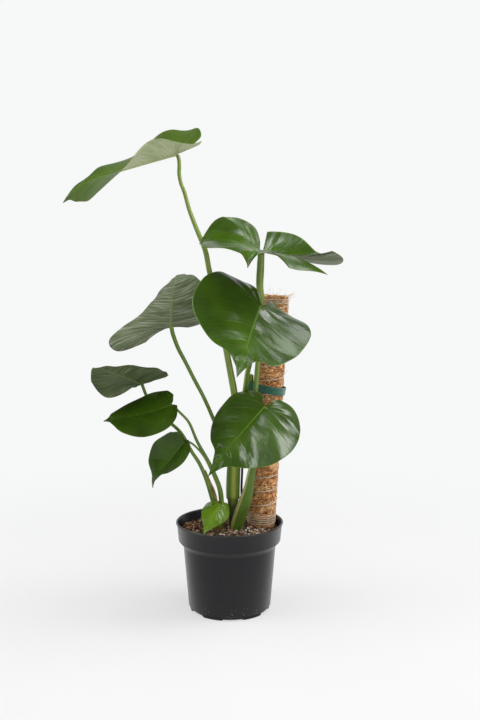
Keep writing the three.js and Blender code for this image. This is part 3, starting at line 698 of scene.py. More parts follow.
def merge(bm: Mesh, distance: float = 2e-6) -> None:
    """Joins points that fall together and drops what has no size."""
    bmesh.ops.remove_doubles(bm, verts=bm.verts, dist=distance)
    bmesh.ops.dissolve_degenerate(bm, edges=bm.edges, dist=1e-7)


def round_about(angle: float, radius: float, height: float) -> Vector:
    """Point at an angle, a radius and a height round the upright axis."""
    return Vector((math.cos(angle) * radius, math.sin(angle) * radius, height))


def show(name: str, data: bpy.types.ID) -> bpy.types.Object:
    """Puts a mesh, a light or a camera into the scene.

    Args:
        name: name of the object.
        data: the mesh, light or camera.

    Returns:
        The object.
    """
    shown = bpy.data.objects.new(name, data)
    bpy.context.scene.collection.objects.link(shown)
    return shown


def finish_piece(
    bm: Mesh,
    name: str,
    material: Material,
    nodes: Sequence[str] = (),
    sharp: float | None = None,
) -> bpy.types.Object:
    """Turns a mesh into a finished piece of the plant.

    Args:
        bm: the mesh, which is freed.
        name: name of the piece.
        material: its finish.
        nodes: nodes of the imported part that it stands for.
        sharp: angle in degrees past which an edge stays sharp, or None for none.

    Returns:
        The piece.
    """
    bmesh.ops.recalc_face_normals(bm, faces=bm.faces)
    for face in bm.faces:
        face.smooth = True
    mesh = bpy.data.meshes.new(name)
    bm.to_mesh(mesh)
    bm.free()
    if sharp is not None:
        mesh.set_sharp_from_angle(angle=math.radians(sharp))
    mesh.materials.append(material)
    piece = show(name, mesh)
    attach(piece, BODY)
    if nodes:
        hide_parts(*nodes)
    LOG.info("%s: %d faces", name, len(mesh.polygons))
    return piece


class Path3:
    """Smooth line through points in millimetres, walked by its length."""

    SAMPLES = 24
    GLANCE = 0.004

    def __init__(self, points: Sequence[Triple]) -> None:
        """Draws the line and measures it.

        Args:
            points: places that the line passes through, from its start.
        """
        knots = [Vector(point) for point in points]
        ends = [knots[0] * 2 - knots[1], *knots, knots[-1] * 2 - knots[-2]]
        self.places = [knots[0]]
        for i in range(1, len(ends) - 2):
            for step in range(1, self.SAMPLES + 1):
                self.places.append(self._point(ends[i - 1 : i + 3], step / self.SAMPLES))
        self.runs = [0.0]
        for first, second in zip(self.places, self.places[1:]):
            self.runs.append(self.runs[-1] + (second - first).length)
        self.length = self.runs[-1]

    @staticmethod
    def _point(knots: Sequence[Vector], share: float) -> Vector:
        """Point between the middle two of four knots, on a centripetal curve.

        Args:
            knots: the four knots.
            share: 0 at the second knot, 1 at the third.

        Returns:
            The point.
        """
        times = [0.0]
        for first, second in zip(knots, knots[1:]):
            times.append(times[-1] + math.sqrt((second - first).length))
        at = times[1] + (times[2] - times[1]) * share

        def blend(a: Vector, b: Vector, start: float, end: float) -> Vector:
            """Point on the line through a at start and b at end."""
            return a * ((end - at) / (end - start)) + b * ((at - start) / (end - start))

        level = list(knots)
        for spans in (((0, 1), (1, 2), (2, 3)), ((0, 2), (1, 3)), ((1, 2),)):
            level = [blend(a, b, times[i], times[k]) for a, b, (i, k) in zip(level, level[1:], spans)]
        return level[0]

    def at(self, share: float) -> Vector:
        """Point at a share of the length.

        Args:
            share: 0 at the start, 1 at the end.

        Returns:
            The point in millimetres.
        """
        run = clamp(share) * self.length
        i = min(len(self.places) - 2, max(0, bisect_right(self.runs, run) - 1))
        step = self.runs[i + 1] - self.runs[i]
        return self.places[i].lerp(self.places[i + 1], (run - self.runs[i]) / step if step else 0.0)

    def heading(self, share: float) -> Vector:
        """Direction at a share of the length."""
        return (self.at(share + self.GLANCE) - self.at(share - self.GLANCE)).normalized()


@dataclass(frozen=True)
class Stem:
    """Tapered stem; its wider direction faces the front."""

    route: tuple[Triple, ...]
    width: tuple[float, ...]
    depth: float = 1.0
    ridge: float = 0.0
    finish: Finish = STALK_GREEN
    slot: Slot = Slot.STALK
    sides: int = 20

    PACE = 2.5
    LEAST_STEPS = 12
    RIDGES, RIDGE_TWIST = 7, 4
    END_ROUNDING = 0.5

    def add_to(self, bm: Mesh) -> None:
        """Adds the stem to a mesh, with its place round and along it kept for the finish.

        Args:
            bm: the mesh to add to.
        """
        path = Path3(self.route)
        steps = max(self.LEAST_STEPS, round(path.length / self.PACE))
        kept = kept_by(bm, "run")

        def shape(vert: Vert, column: int, row: int) -> None:
            """Places one point of the wall.

            Args:
                vert: the point.
                column: its number round the stem.
                row: its number along it.
            """
            share = row / steps
            angle = 2 * math.pi * column / self.sides
            heading = path.heading(share)
            side = (Vector((1, 0, 0)) - heading * heading.x).normalized()
            back = heading.cross(side)
            end = min(share, 1 - share) * path.length
            radius = along_list(self.width, share)
            radius *= math.sqrt(clamp(1 - (1 - clamp(end / (self.END_ROUNDING * radius))) ** 2))
            radius *= 1 + self.ridge * math.cos(angle * self.RIDGES + share * self.RIDGE_TWIST)
            across, away = math.sin(angle), math.cos(angle)
            vert.co = (path.at(share) + (side * across + back * away * self.depth) * radius) * MM
            vert[kept] = Vector((across, away, share * path.length * MM))

        shaped_grid(bm, self.sides, steps, shape)
        merge(bm)


@dataclass(frozen=True)
class Split:
    """Cut in a blade from a share of the way out; it closes again at `to`, or runs out."""

    at: float
    start: float
    width: float
    to: float | None = None

    def opening(self, share: float) -> float:
        """How far each lip stands off the cut at a share from the midrib, in leaf lengths.

        Args:
            share: 0 at the midrib, 1 at the margin.

        Returns:
            The distance of one lip from the cut.
        """
        end = self.to or 1.0
        if share <= self.start or share >= (self.to or 2.0):
            return 0.0
        inside = (share - self.start) / (end - self.start)
        if self.to:
            return self.width * math.sin(math.pi * inside)
        return self.width * (math.sqrt(inside) * (1 - 0.2 * inside))


@dataclass(frozen=True)
class Half:
    """Shape of one half of a blade: reach of its outline, fold and cup, in shares of the length."""

    reach: Sequence[float]
    sinus: float
    fold: Bend
    cup: Bend
    spread: float = 1.0
    twist: float | None = None
    lobe_lift: float | None = None
    splits: tuple[Split, ...] = ()
    tilts: tuple[float, ...] = ()
    lifts: tuple[float, ...] = ()


@dataclass(frozen=True)
class Leaf:
    """One leaf: where its blade joins the stalk, how it is turned, and how it bends."""

    joint: Triple
    length: float
    heading: float
    pitch: float
    roll: float
    droop: float
    tip_curl: float
    left: Half
    right: Half
    twist: float = 0.0
    lobe_lift: float = 0.0
    midrib: float = 2.4
    pleat: float = 0.35
    wave: float = 0.9
    mark: tuple[float, float] | None = None
    finish: LeafFinish = LEAF_GREEN

    def half(self, side: Side) -> Half:
        """The half on one side."""
        return self.left if side is Side.LEFT else self.right


def smooth_along(values: Sequence[Vector] | Sequence[float], place: float) -> Vector | float:
    """Value of a smooth curve through evenly spaced values, at a place counted in values.

    Args:
        values: the numbers or vectors.
        place: 0 at the first value, 1 at the second, and so on.

    Returns:
        The value there.
    """
    last = len(values) - 1
    i = min(last - 1, int(place))
    f = place - i
    before, a, b, after = values[max(0, i - 1)], values[i], values[i + 1], values[min(last, i + 2)]
    return 0.5 * (
        2 * a
        + (b - before) * f
        + (2 * before - 5 * a + 4 * b - after) * f * f
        + (3 * a - before - 3 * b + after) * f**3
    )


def bend_at(value: Bend, y: float, taper: float) -> float:
    """Angle in radians at a length share: one number, or five from behind the joint to the tip.

    Args:
        value: the angle or angles in degrees.
        y: share of the length from the joint, below 0 behind it.
        taper: share that one number loses by the tip.

    Returns:
        The angle.
    """
    if isinstance(value, tuple):
        return math.radians(smooth_along(value, clamp((y + 0.2) / 1.2) * (len(value) - 1)))
    return math.radians(value) * (1 - taper * clamp(y))


@dataclass
class Blade:
    """Heart-shaped blade: a flat outline bent along the midrib, folded and cupped across it, then posed."""

    leaf: Leaf
    REACH_ANGLES = (10, 25, 45, 70, 100, 130, 155)
    COLUMNS = (0, 0.012, 0.03, 0.06, 0.11, 0.18, 0.26, 0.35, 0.45, 0.55, 0.65, 0.75, 0.85, 0.93, 0.98, 1)
    ROWS_PER_KNOT = 10
    FIRST_ROW, LAST_ROW = 1.0, 10.0
    BACK_END = -0.6
    BEND_STEPS = 96
    CURL_START = 0.6
    LOBE_LENGTH, LOBE_END = 0.3, 1.6
    SINUS_GAP, TIP_ANGLE, TIP_REACH = 6, 3.5, 0.49
    VEIN_BOW, VEIN_LEAD = 0.55, 0.25
    CUP_WIDTH, LEAST_CUP = 0.55, 1e-3
    FREE_FROM = 0.3
    GROOVE_DEPTH, GROOVE_WIDTH = 0.35, 0.03
    WAVES = 4.1
    LIP_ROWS, LOOK_ROWS = 0.5, 0.05
    MARK_OUTER, MARK_INNER = 0.016, 0.006
    THICKNESS, MARGIN_FROM = 0.7, 0.8
    RIB_FROM, RIB_ROWS, RIB_WIDTH = 2, 8, 0.045
    TOP_PROBE = (0.01, 0.08)

    def __post_init__(self) -> None:
        """Works out the outline, the midrib's bend and the blade's axes."""
        leaf = self.leaf
        self.knots = {side: self._outline(leaf.half(side)) for side in Side}
        self.line = {side: self._bend(leaf.half(side)) for side in Side}
        heading, pitch = math.radians(leaf.heading), math.radians(leaf.pitch)
        self.along = Vector(
            (math.cos(heading) * math.cos(pitch), math.sin(heading) * math.cos(pitch), math.sin(pitch))
        )
        across = self.along.cross(Vector((0, 0, 1))).normalized()
        self.across = Matrix.Rotation(math.radians(leaf.roll), 3, self.along) @ across
        self.up = self.across.cross(self.along)

    def _outline(self, half: Half) -> list[Vector]:
        """Knots of the outline from the sinus to the tip.

        Args:
            half: the half.

        Returns:
            The knots, in leaf lengths.
        """

        def polar(angle: float, reach: float) -> Vector:
            """Point at an angle from the tip."""
            return Vector((reach * math.sin(math.radians(angle)), reach * math.cos(math.radians(angle))))

        angles = [angle * half.spread for angle in self.REACH_ANGLES]
        end = half.reach[-1]
        knots = [polar(half.sinus, 0), polar(half.sinus, end / 2)]
        knots.append(polar(min(angles[-1], half.sinus - self.SINUS_GAP), end))
        knots += [polar(angles[i], half.reach[i]) for i in range(5, -1, -1)]
        return [*knots, polar(self.TIP_ANGLE, half.reach[0] / 2 + self.TIP_REACH), polar(0, 1)]

    def _bend(self, half: Half) -> tuple[list[float], list[float], list[float]]:
        """Turn, reach and rise of the midrib line from behind the joint to the tip.

        Args:
            half: the half.

        Returns:
            Turns in radians, and reaches and rises in leaf lengths, at even steps.
        """
        leaf = self.leaf
        lobe_lift = leaf.lobe_lift if half.lobe_lift is None else half.lobe_lift
        step = (1 - self.BACK_END) / self.BEND_STEPS
        turns, reaches, rises = [], [0.0], [0.0]
        for i in range(self.BEND_STEPS + 1):
            s = self.BACK_END + i * step
            ahead, back = clamp(s), clamp(-s / self.LOBE_LENGTH, 0, self.LOBE_END)
            curl = clamp((ahead - self.CURL_START) / (1 - self.CURL_START)) ** 1.5
            turns.append(
                -math.radians(leaf.droop) * ahead**1.2
                - math.radians(leaf.tip_curl) * curl
                - math.radians(lobe_lift) * back**0.8
            )
            if i:
                reaches.append(reaches[-1] + (math.cos(turns[i]) + math.cos(turns[i - 1])) / 2 * step)
                rises.append(rises[-1] + (math.sin(turns[i]) + math.sin(turns[i - 1])) / 2 * step)
        zero = -self.BACK_END / (1 - self.BACK_END)
        reach0, rise0 = along_list(reaches, zero), along_list(rises, zero)
        return turns, [value - reach0 for value in reaches], [value - rise0 for value in rises]

    def _margin(self, side: Side, row: float) -> Vector:
        """Outline point at a row."""
        return smooth_along(self.knots[side], row)

    def flat(self, side: Side, row: float, share: float) -> Vector:
        """Flat point of a row at a share of the way from the midrib to the margin.

        Args:
            side: the half's side.
            row: place along the outline, counted in knots.
            share: 0 at the midrib, 1 at the margin.

        Returns:
            The point out from the midrib and along it, in leaf lengths.
        """
        margin = self._margin(side, row)
        middle = clamp((margin.y + self._margin(side.other, row).y) / 2)
        root = 0.3 * middle + 0.7 * middle * middle
        reach = max(0.0, margin.x)
        keep = 2 * share * (1 - share)
        x = keep * self.VEIN_BOW * reach + share * share * reach
        lead = root + self.VEIN_LEAD * (margin.y - root)
        return Vector((x, (1 - share) ** 2 * root + keep * lead + share * share * margin.y))

    def surface(self, side: Side, point: Vector, lift: float) -> Vector:
        """Place in metres of a flat point, lifted off the blade by a share of the length.

        Args:
            side: the half's side.
            point: the flat point.
            lift: distance off the blade, in leaf lengths.

        Returns:
            The place.
        """
        leaf, half = self.leaf, self.leaf.half(side)
        turns, reaches, rises = self.line[side]
        s = (point.y - self.BACK_END) / (1 - self.BACK_END)
        ahead = clamp(point.y)
        turn = along_list(turns, s)
        fold = bend_at(half.fold, point.y, 0.5)
        cup = bend_at(half.cup, point.y, 0.0) / self.CUP_WIDTH or self.LEAST_CUP
        arc = fold + cup * point.x
        sideways = (math.sin(arc) - math.sin(fold)) / cup
        raised = -(math.cos(arc) - math.cos(fold)) / cup
        twist = math.radians(leaf.twist if half.twist is None else half.twist) * ahead
        up = self.up * math.cos(turn) - self.along * math.sin(turn)
        right = self.across * math.cos(twist) + up * math.sin(twist)
        normal = up * math.cos(twist) - self.across * math.sin(twist)
        place = (
            self.along * along_list(reaches, s)
            + self.up * along_list(rises, s)
            + right * (side.value * sideways)
            + normal * (raised + lift)
        )
        return (Vector(leaf.joint) + place * leaf.length) * MM

    def _lift(self, row: float, share: float, ribbon: tuple[float, float]) -> float:
        """Height of the surface off the plain blade: a ribbon's tilt and lift, pleats, a wavy margin.

        Args:
            row: place along the outline, counted in knots.
            share: 0 at the midrib, 1 at the margin.
            ribbon: how far the ribbon tilts and lifts at the margin.

        Returns:
            The height, in leaf lengths.
        """
        leaf = self.leaf
        tilt, lift = ribbon
        free = clamp((share - self.FREE_FROM) / (1 - self.FREE_FROM))
        pleat = -leaf.pleat * math.cos(2 * math.pi * row) * math.sin(math.pi * min(1.0, share * 1.05)) ** 0.7
        pleat *= ease(self.LAST_ROW, self.LAST_ROW - 1, row)
        groove = -self.GROOVE_DEPTH * ease(self.GROOVE_WIDTH, 0.0, share)
        wave = leaf.wave * math.sin(row * self.WAVES + leaf.heading) * share**3
        wave *= ease(self.LAST_ROW, self.LAST_ROW - 1.4, row)
        return tilt * free + lift * free * free + (pleat + groove + wave) / leaf.length

    def add_half(self, bm: Mesh, side: Side) -> None:
        """Adds one half to a mesh, ribbon by ribbon between its splits.

        Args:
            bm: the mesh to add to.
            side: the half's side.
        """
        half = self.leaf.half(side)
        glances = (self.LOOK_ROWS, -self.LOOK_ROWS)
        blade, flat = kept_by(bm, "blade"), kept_by(bm, "flat")
        ends = [self.FIRST_ROW, *(split.at for split in half.splits), self.LAST_ROW]
        for k, (start, end) in enumerate(zip(ends, ends[1:])):
            ribbon = (half.tilts[k], half.lifts[k]) if half.lifts else (0.0, 0.0)
            borders = [
                (split, 1 if split.at == start else -1) for split in half.splits if split.at in (start, end)
            ]
            rows = max(2, round((end - start) * self.ROWS_PER_KNOT))

            def shape(vert: Vert, column: int, place: int) -> None:
                """Places one point of the ribbon.

                Args:
                    vert: the point.
                    column: its number from the midrib.
                    place: its number along the ribbon.
                """
                share = self.COLUMNS[column]
                row = start + (end - start) * place / rows
                point = self.flat(side, row, share)
                for split, sign in borders:
                    open_by = split.opening(share) * max(0.0, 1 - abs(row - split.at) / self.LIP_ROWS)
                    if open_by:
                        after, before = (self.flat(side, row + look, share) for look in glances)
                        point += (after - before).normalized() * (sign * open_by)
                vert.co = self.surface(side, point, self._lift(row, share, ribbon))
                vert[blade] = Vector((side.value * share, row, 0.0))
                vert[flat] = Vector((side.value * point.x, point.y, self._mark(side, point)))

            shaped_grid(bm, len(self.COLUMNS) - 1, rows, shape)

    def _mark(self, side: Side, point: Vector) -> float:
        """Strength of the small brown mark at a flat point.

        Args:
            side: the half's side.
            point: the flat point.

        Returns:
            The strength, from 0 to 1.
        """
        if self.leaf.mark is None:
            return 0.0
        spot = Vector(self.leaf.mark)
        away = (Vector((side.value * point.x, point.y)) - spot).length
        return ease(self.MARK_OUTER, self.MARK_INNER, away)

    def build(self) -> Mesh:
        """The whole blade as a thin closed body, with the midrib standing out below.

        Returns:
            The mesh.
        """
        bm = bmesh.new()
        blade, _, facing = (kept_by(bm, name) for name in ("blade", "flat", "facing"))
        for side in Side:
            self.add_half(bm, side)
        merge(bm)
        bmesh.ops.recalc_face_normals(bm, faces=bm.faces)
        bm.normal_update()
        probe = self.surface(Side.RIGHT, Vector(self.TOP_PROBE), 0.0)
        nearest = min(bm.verts, key=lambda vert: (vert.co - probe).length)
        sign = 1 if nearest.normal.dot(self.up) > 0 else -1
        for vert in bm.verts:
            vert[facing] = vert.normal * sign
        made = bmesh.ops.extrude_face_region(bm, geom=list(bm.faces))
        for vert in made["geom"]:
            if not isinstance(vert, Vert):
                continue
            share, row, _ = vert[blade]
            depth = self.THICKNESS * (1 - 0.5 * ease(self.MARGIN_FROM, 1.0, abs(share)))
            ahead = clamp((row - self.RIB_FROM) / self.RIB_ROWS)
            rib = self.leaf.midrib * (1 - 0.85 * ahead)
            rib *= ease(self.RIB_WIDTH * (1 - 0.6 * ahead), 0.0, abs(share))
            vert.co -= vert[facing] * ((depth + rib) * MM)
            vert[blade] = Vector((share, row, 1.0))
        bm.verts.layers.float_vector.remove(facing)
        return bm


LEAVES = {
    "top_left": Leaf(
        (-80.2, 11, 715), 195.8, 178.2, -15.5, 6, 1, 43,
        Half(
            [0.916, 0.835, 0.70, 0.579, 0.438, 0.332, 0.201], 157.5,
            (-10.4, 5.3, -6.7, -27.8, -51.6), (5.7, -1.9, -14.6, -10.8, -12.3),
            twist=-1.9, lobe_lift=17.6,
        ),
        Half(
            [0.723, 0.664, 0.569, 0.495, 0.461, 0.395, 0.263], 168.3,
            (39.9, 42.6, 29, 29.7, 22.8), (-18.6, -15, -25.6, -18.8, -19.6),
            twist=6.6, lobe_lift=20.6, splits=(Split(5, 0.3, 0.022, 0.8),),
        ),
        finish=LEAF_SATIN_PAINTED_LIT,
    ),
    "top_right": Leaf(
        (48.9, -15, 566.5), 162, -97.4, 1.7, -4.7, -3.1, 61.6,
        Half(
            [0.785, 0.743, 0.712, 0.841, 0.585, 0.507, 0.378], 171.7,
            (-10.1, -0.5, 5.9, 8.2, 21.7), (-13.6, -16.6, -12.5, -17.2, -23),
            twist=0, lobe_lift=25.2,
            splits=(Split(4.5, 0.3, 0.012), Split(5.5, 0.3, 0.012), Split(7, 0.3, 0.02)),
            tilts=(0.121, -0.034, -0.046, -0.065),
            lifts=(0.052, 0.11, -0.097, 0.056),
        ),
        Half(
            [0.809, 0.774, 0.701, 0.621, 0.549, 0.508, 0.385], 164.2,
            (51.5, 35.6, 28.9, 15.6, 3.2), (-32.5, -51.4, -52.5, -47.3, -49.1),
            twist=-4.2, lobe_lift=50.4,
        ),
        mark=(0.36, 0.14),
    ),
    "middle": Leaf(
        (48, -62, 487.6), 159, -112, -40, -43, -28, 33,
        Half([0.72, 0.71, 0.62, 0.57, 0.59, 0.62, 0.50], 157, -17, 25),
        Half([0.78, 0.74, 0.69, 0.66, 0.58, 0.54, 0.48], 168, 0, -14),
        twist=-14, lobe_lift=-41, pleat=0.7,
    ),
    "lower": Leaf(
        (54, -59, 336), 145, -134, -33, -32, 6, 32,
        Half([0.81, 0.76, 0.65, 0.55, 0.49, 0.46, 0.35], 171, -15, -23),
        Half([0.74, 0.67, 0.60, 0.53, 0.47, 0.47, 0.37], 142, -15, -22),
        twist=-20, lobe_lift=-34, midrib=2.2, pleat=0.6,
    ),
    "back_left": Leaf(
        (-89.7, 0, 450.5), 143.8, -99.1, 86.4, 2.9, -127.5, 7.3,
        Half(
            [0.778, 0.703, 0.634, 0.593, 0.607, 0.618, 0.469], 100.3,
            (55.3, 38.4, 20.7, 12.9, 12.1), (22.9, 16.2, 13.3, 6.9, 3.8),
            spread=0.64, twist=29, lobe_lift=13.9,
        ),
        Half(
            [0.843, 0.677, 0.521, 0.434, 0.45, 0.731, 0.662], 120.5,
            (-5.9, 5.6, 14.8, 14.1, 7.6), (17.1, 25.8, 32, 28.2, 25.5),
            spread=0.78, twist=28.5, lobe_lift=-5.6,
        ),
        pleat=0.6,
    ),
    "low_back": Leaf(
        (-134.2, -25, 364.2), 138, 242, 22, 12, 6, 16,
        Half([0.73, 0.63, 0.52, 0.38, 0.32, 0.33, 0.31], 142, 32, -50),
        Half([0.80, 0.66, 0.57, 0.51, 0.53, 0.48, 0.35], 142, 15, -50),
        twist=6, lobe_lift=24, midrib=1.6, pleat=0.5, finish=LEAF_DULL_PAINTED_SHADE,
    ),
    "low_middle": Leaf(
        (-88.3, -44, 335.7), 107, 174, -23, -33, -32, 23,
        Half([0.88, 0.81, 0.63, 0.44, 0.29, 0.16, 0.10], 146, 8, -50),
        Half([0.87, 0.69, 0.52, 0.31, 0.22, 0.16, 0.10], 142, 34, -50),
        twist=-16, lobe_lift=60, midrib=1.6, pleat=0.2, wave=0.4, finish=LEAF_DULL_PAINTED_SHADE,
    ),
    "low_front": Leaf(
        (-68, -49, 281), 97, 165, -54, -60, -13, 54,
        Half([0.67, 0.58, 0.49, 0.38, 0.27, 0.16, 0.10], 142, 20, -5),
        Half([0.79, 0.73, 0.53, 0.32, 0.23, 0.18, 0.10], 142, 43, 4),
        twist=-31, lobe_lift=49, midrib=1.4, pleat=0.2, wave=0.4, finish=LEAF_DULL_PAINTED_SHADE,
    ),
    "newest": Leaf(
        (-14, -44, 181), 64, 250, -13, -21, 61, 41,
        Half([0.78, 0.62, 0.49, 0.39, 0.32, 0.29, 0.28], 166, -17, -41),
        Half([0.75, 0.62, 0.50, 0.41, 0.40, 0.33, 0.20], 142, -18, -35),
        twist=1, lobe_lift=-12, midrib=1.0, pleat=0.15, wave=0.3, finish=LEAF_YOUNG,
    ),
}

STALKS = {
    "top_left": Stem(
        ((8, 10, 255), (7, 3, 290), (9, 1, 320), (8, 2, 343), (1, 3, 383), (-14, 2, 461), (-31, 1, 539),
         (-37, 1, 569), (-49.6, 3, 600), (-61, 5, 630), (-69, 7, 658), (-74, 8, 671), (-76.6, 9, 685),
         (-76.4, 10, 699), (-77.4, 11, 709), (-80.2, 11, 715)),
        (5.6, 5.6, 5.4, 4.8, 4.4, 4.2, 4, 3.4, 2.9, 2.9), 0.95, finish=STALK_PAINTED_LIT,
    ),
    "top_right": Stem(
        ((24, 19, 300), (33, 12, 318), (40, 6, 345), (43, 3, 375), (47, -2, 430), (49, -5, 490),
         (47, -9, 516), (48, -12, 542), (48.9, -15, 566.5)),
        (4.4, 4.2, 4.2, 4.2, 4.4, 4.8, 5.4, 5.8, 5.2), 0.85, finish=STALK_PAINTED_LIT,
    ),
    "middle": Stem(
        ((17, 12, 286), (21, 7, 320), (25, 0, 353), (30, -14, 389), (38, -31, 418), (47, -48, 450),
         (50, -58, 472), (48, -62, 487.6)),
        (4.4, 4.2, 4.2, 4.2, 4.2, 4.2, 4.4, 4), 0.9, finish=STALK_EDGED,
    ),
    "back_left": Stem(
        ((4, 12, 232), (-12, 12, 269.5), (-26.9, 12, 306.5), (-41.3, 12, 339.3), (-55, 11, 365.8),
         (-69.7, 9, 395.8), (-79.8, 5, 416.3), (-84.6, 2, 429.5), (-88.2, -0.5, 441.5), (-90, -2.5, 453)),
        (3.4, 3.2, 3.1, 3, 3, 3, 3.2, 3.4),
    ),
    "lower": Stem(
        ((9, -7, 114), (10, -8, 130), (14, -10, 145), (22, -16, 171), (30, -23, 200), (35, -31, 231),
         (39, -37, 245), (46, -46, 268), (53, -56, 298), (56, -60, 320), (54, -59, 336)),
        (8.8, 9.8, 10.6, 9.6, 7.6, 6, 4.8, 4.2, 4, 4, 3.6), 0.62, finish=STALK_EDGED,
    ),
    "low_back": Stem(
        ((-18, -8, 150), (-26, -11, 178), (-37, -16, 215), (-47, -19, 239), (-58, -21, 257),
         (-75, -20, 287), (-93, -10, 302), (-118, -2, 322), (-130, -6, 345), (-133, -16, 357),
         (-134, -25, 364)),
        (4.4, 4, 3.4, 3, 2.8, 2.7, 2.6, 2.6, 2.5, 2.5),
    ),
    "low_middle": Stem(
        ((-12, -4, 160), (-15, -6, 193), (-29, -12, 232), (-50, -20, 274), (-63, -26, 306),
         (-76, -33, 322), (-83, -39, 330), (-88, -44, 335.5)),
        (4, 4, 3.4, 2.9, 2.5, 2.2, 2, 2),
    ),
    "low_front": Stem(
        ((-15, -9, 162), (-15, -16, 190), (-27, -22, 225), (-38, -29, 250), (-48, -35, 265),
         (-57, -42, 275), (-63, -46, 279), (-68, -49, 281)),
        (2.4, 2.2, 2, 1.8, 1.7, 1.6, 1.6, 1.6),
    ),
    "newest": Stem(
        ((-14, -8, 146), (-10, -20, 158), (-10, -31, 169), (-11, -39, 176), (-14, -44, 181)),
        (2.4, 2.2, 2, 1.8, 1.8),
    ),
}

STEMS = {
    "main_stem": (
        Stem(
            ((7, 7, 108), (7, 6, 128), (6, 7, 157), (5, 9, 189), (7, 12, 229), (13, 16, 269), (25, 20, 316),
             (32, 23, 350), (35, 24, 374)),
            (7.4, 7.4, 8, 8.6, 9, 9.4, 9.4, 9, 8.2, 7.2, 6, 5.2, 3.4),
            finish=STEM_OLIVE, slot=Slot.STEM, sides=28,
        ),
        Stem(
            ((5.6, 8, 172), (5.2, 9, 190), (6.6, 11.6, 225), (9, 14, 246)),
            (10.7, 11, 10.8, 9.6), ridge=0.015, sides=28,
        ),
    ),
    "offshoot_stem": (
        Stem(
            ((-18, -6, 108), (-17, -6, 131), (-16, -6, 152), (-14, -6, 176)), (8, 8, 7.4, 6),
            ridge=0.03, finish=OFFSHOOT_GREEN, slot=Slot.STEM, sides=28,
        ),
    ),
    "aerial_root": (
        Stem(
            ((14, 17, 270), (20, 21, 258), (21, 20, 243), (20, 18, 219), (19, 16, 187), (20, 15, 155),
             (21, 14, 118)),
            (2.2, 2, 1.8, 1.8, 1.8, 1.8, 1.6), ridge=0.05, finish=ROOT_BARK, slot=Slot.ROOT, sides=28,
        ),
    ),
    "dry_sheath": (
        Stem(
            ((-21, -9.5, 166), (-25, -11, 190), (-32, -13, 210), (-38, -14, 228)), (4.4, 3.4, 2.2, 0.8),
            0.35, ridge=0.06, finish=DRY_HUSK, slot=Slot.HUSK, sides=28,
        ),
    ),
}


class Foliage:
    """Stems, aerial root and dry sheath, and the leaves with their stalks."""

    def __init__(self) -> None:
        """Starts with no finish made."""
        self.made: dict[Finish, Material] = {}

    def build(self) -> None:
        """Builds the stems, and then each blade with its stalk."""
        for name, stems in STEMS.items():
            self._add_stem(name, stems)
        for name, leaf in LEAVES.items():
            paint = self._paint(leaf.finish)
            finish_piece(Blade(leaf).build(), f"leaf_{name}_blade", paint, [f"leaf_{name}"])
            self._add_stem(f"stalk_{name}", (STALKS[name],))

    def _add_stem(self, node: str, stems: Sequence[Stem]) -> None:
        """Adds one piece made of one or more stems, in the finish of the first.

        Args:
            node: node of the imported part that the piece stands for.
            stems: the stems.
        """
        bm = bmesh.new()
        for stem in stems:
            stem.add_to(bm)
        finish_piece(bm, f"{node}_round", self._paint(stems[0].finish), [node])

    def _paint(self, finish: Finish) -> Material:
        """The material of a finish, which is made once.

        Args:
            finish: the finish.

        Returns:
            The material.
        """
        if finish not in self.made:
            self.made[finish] = finish.material()
        return self.made[finish]


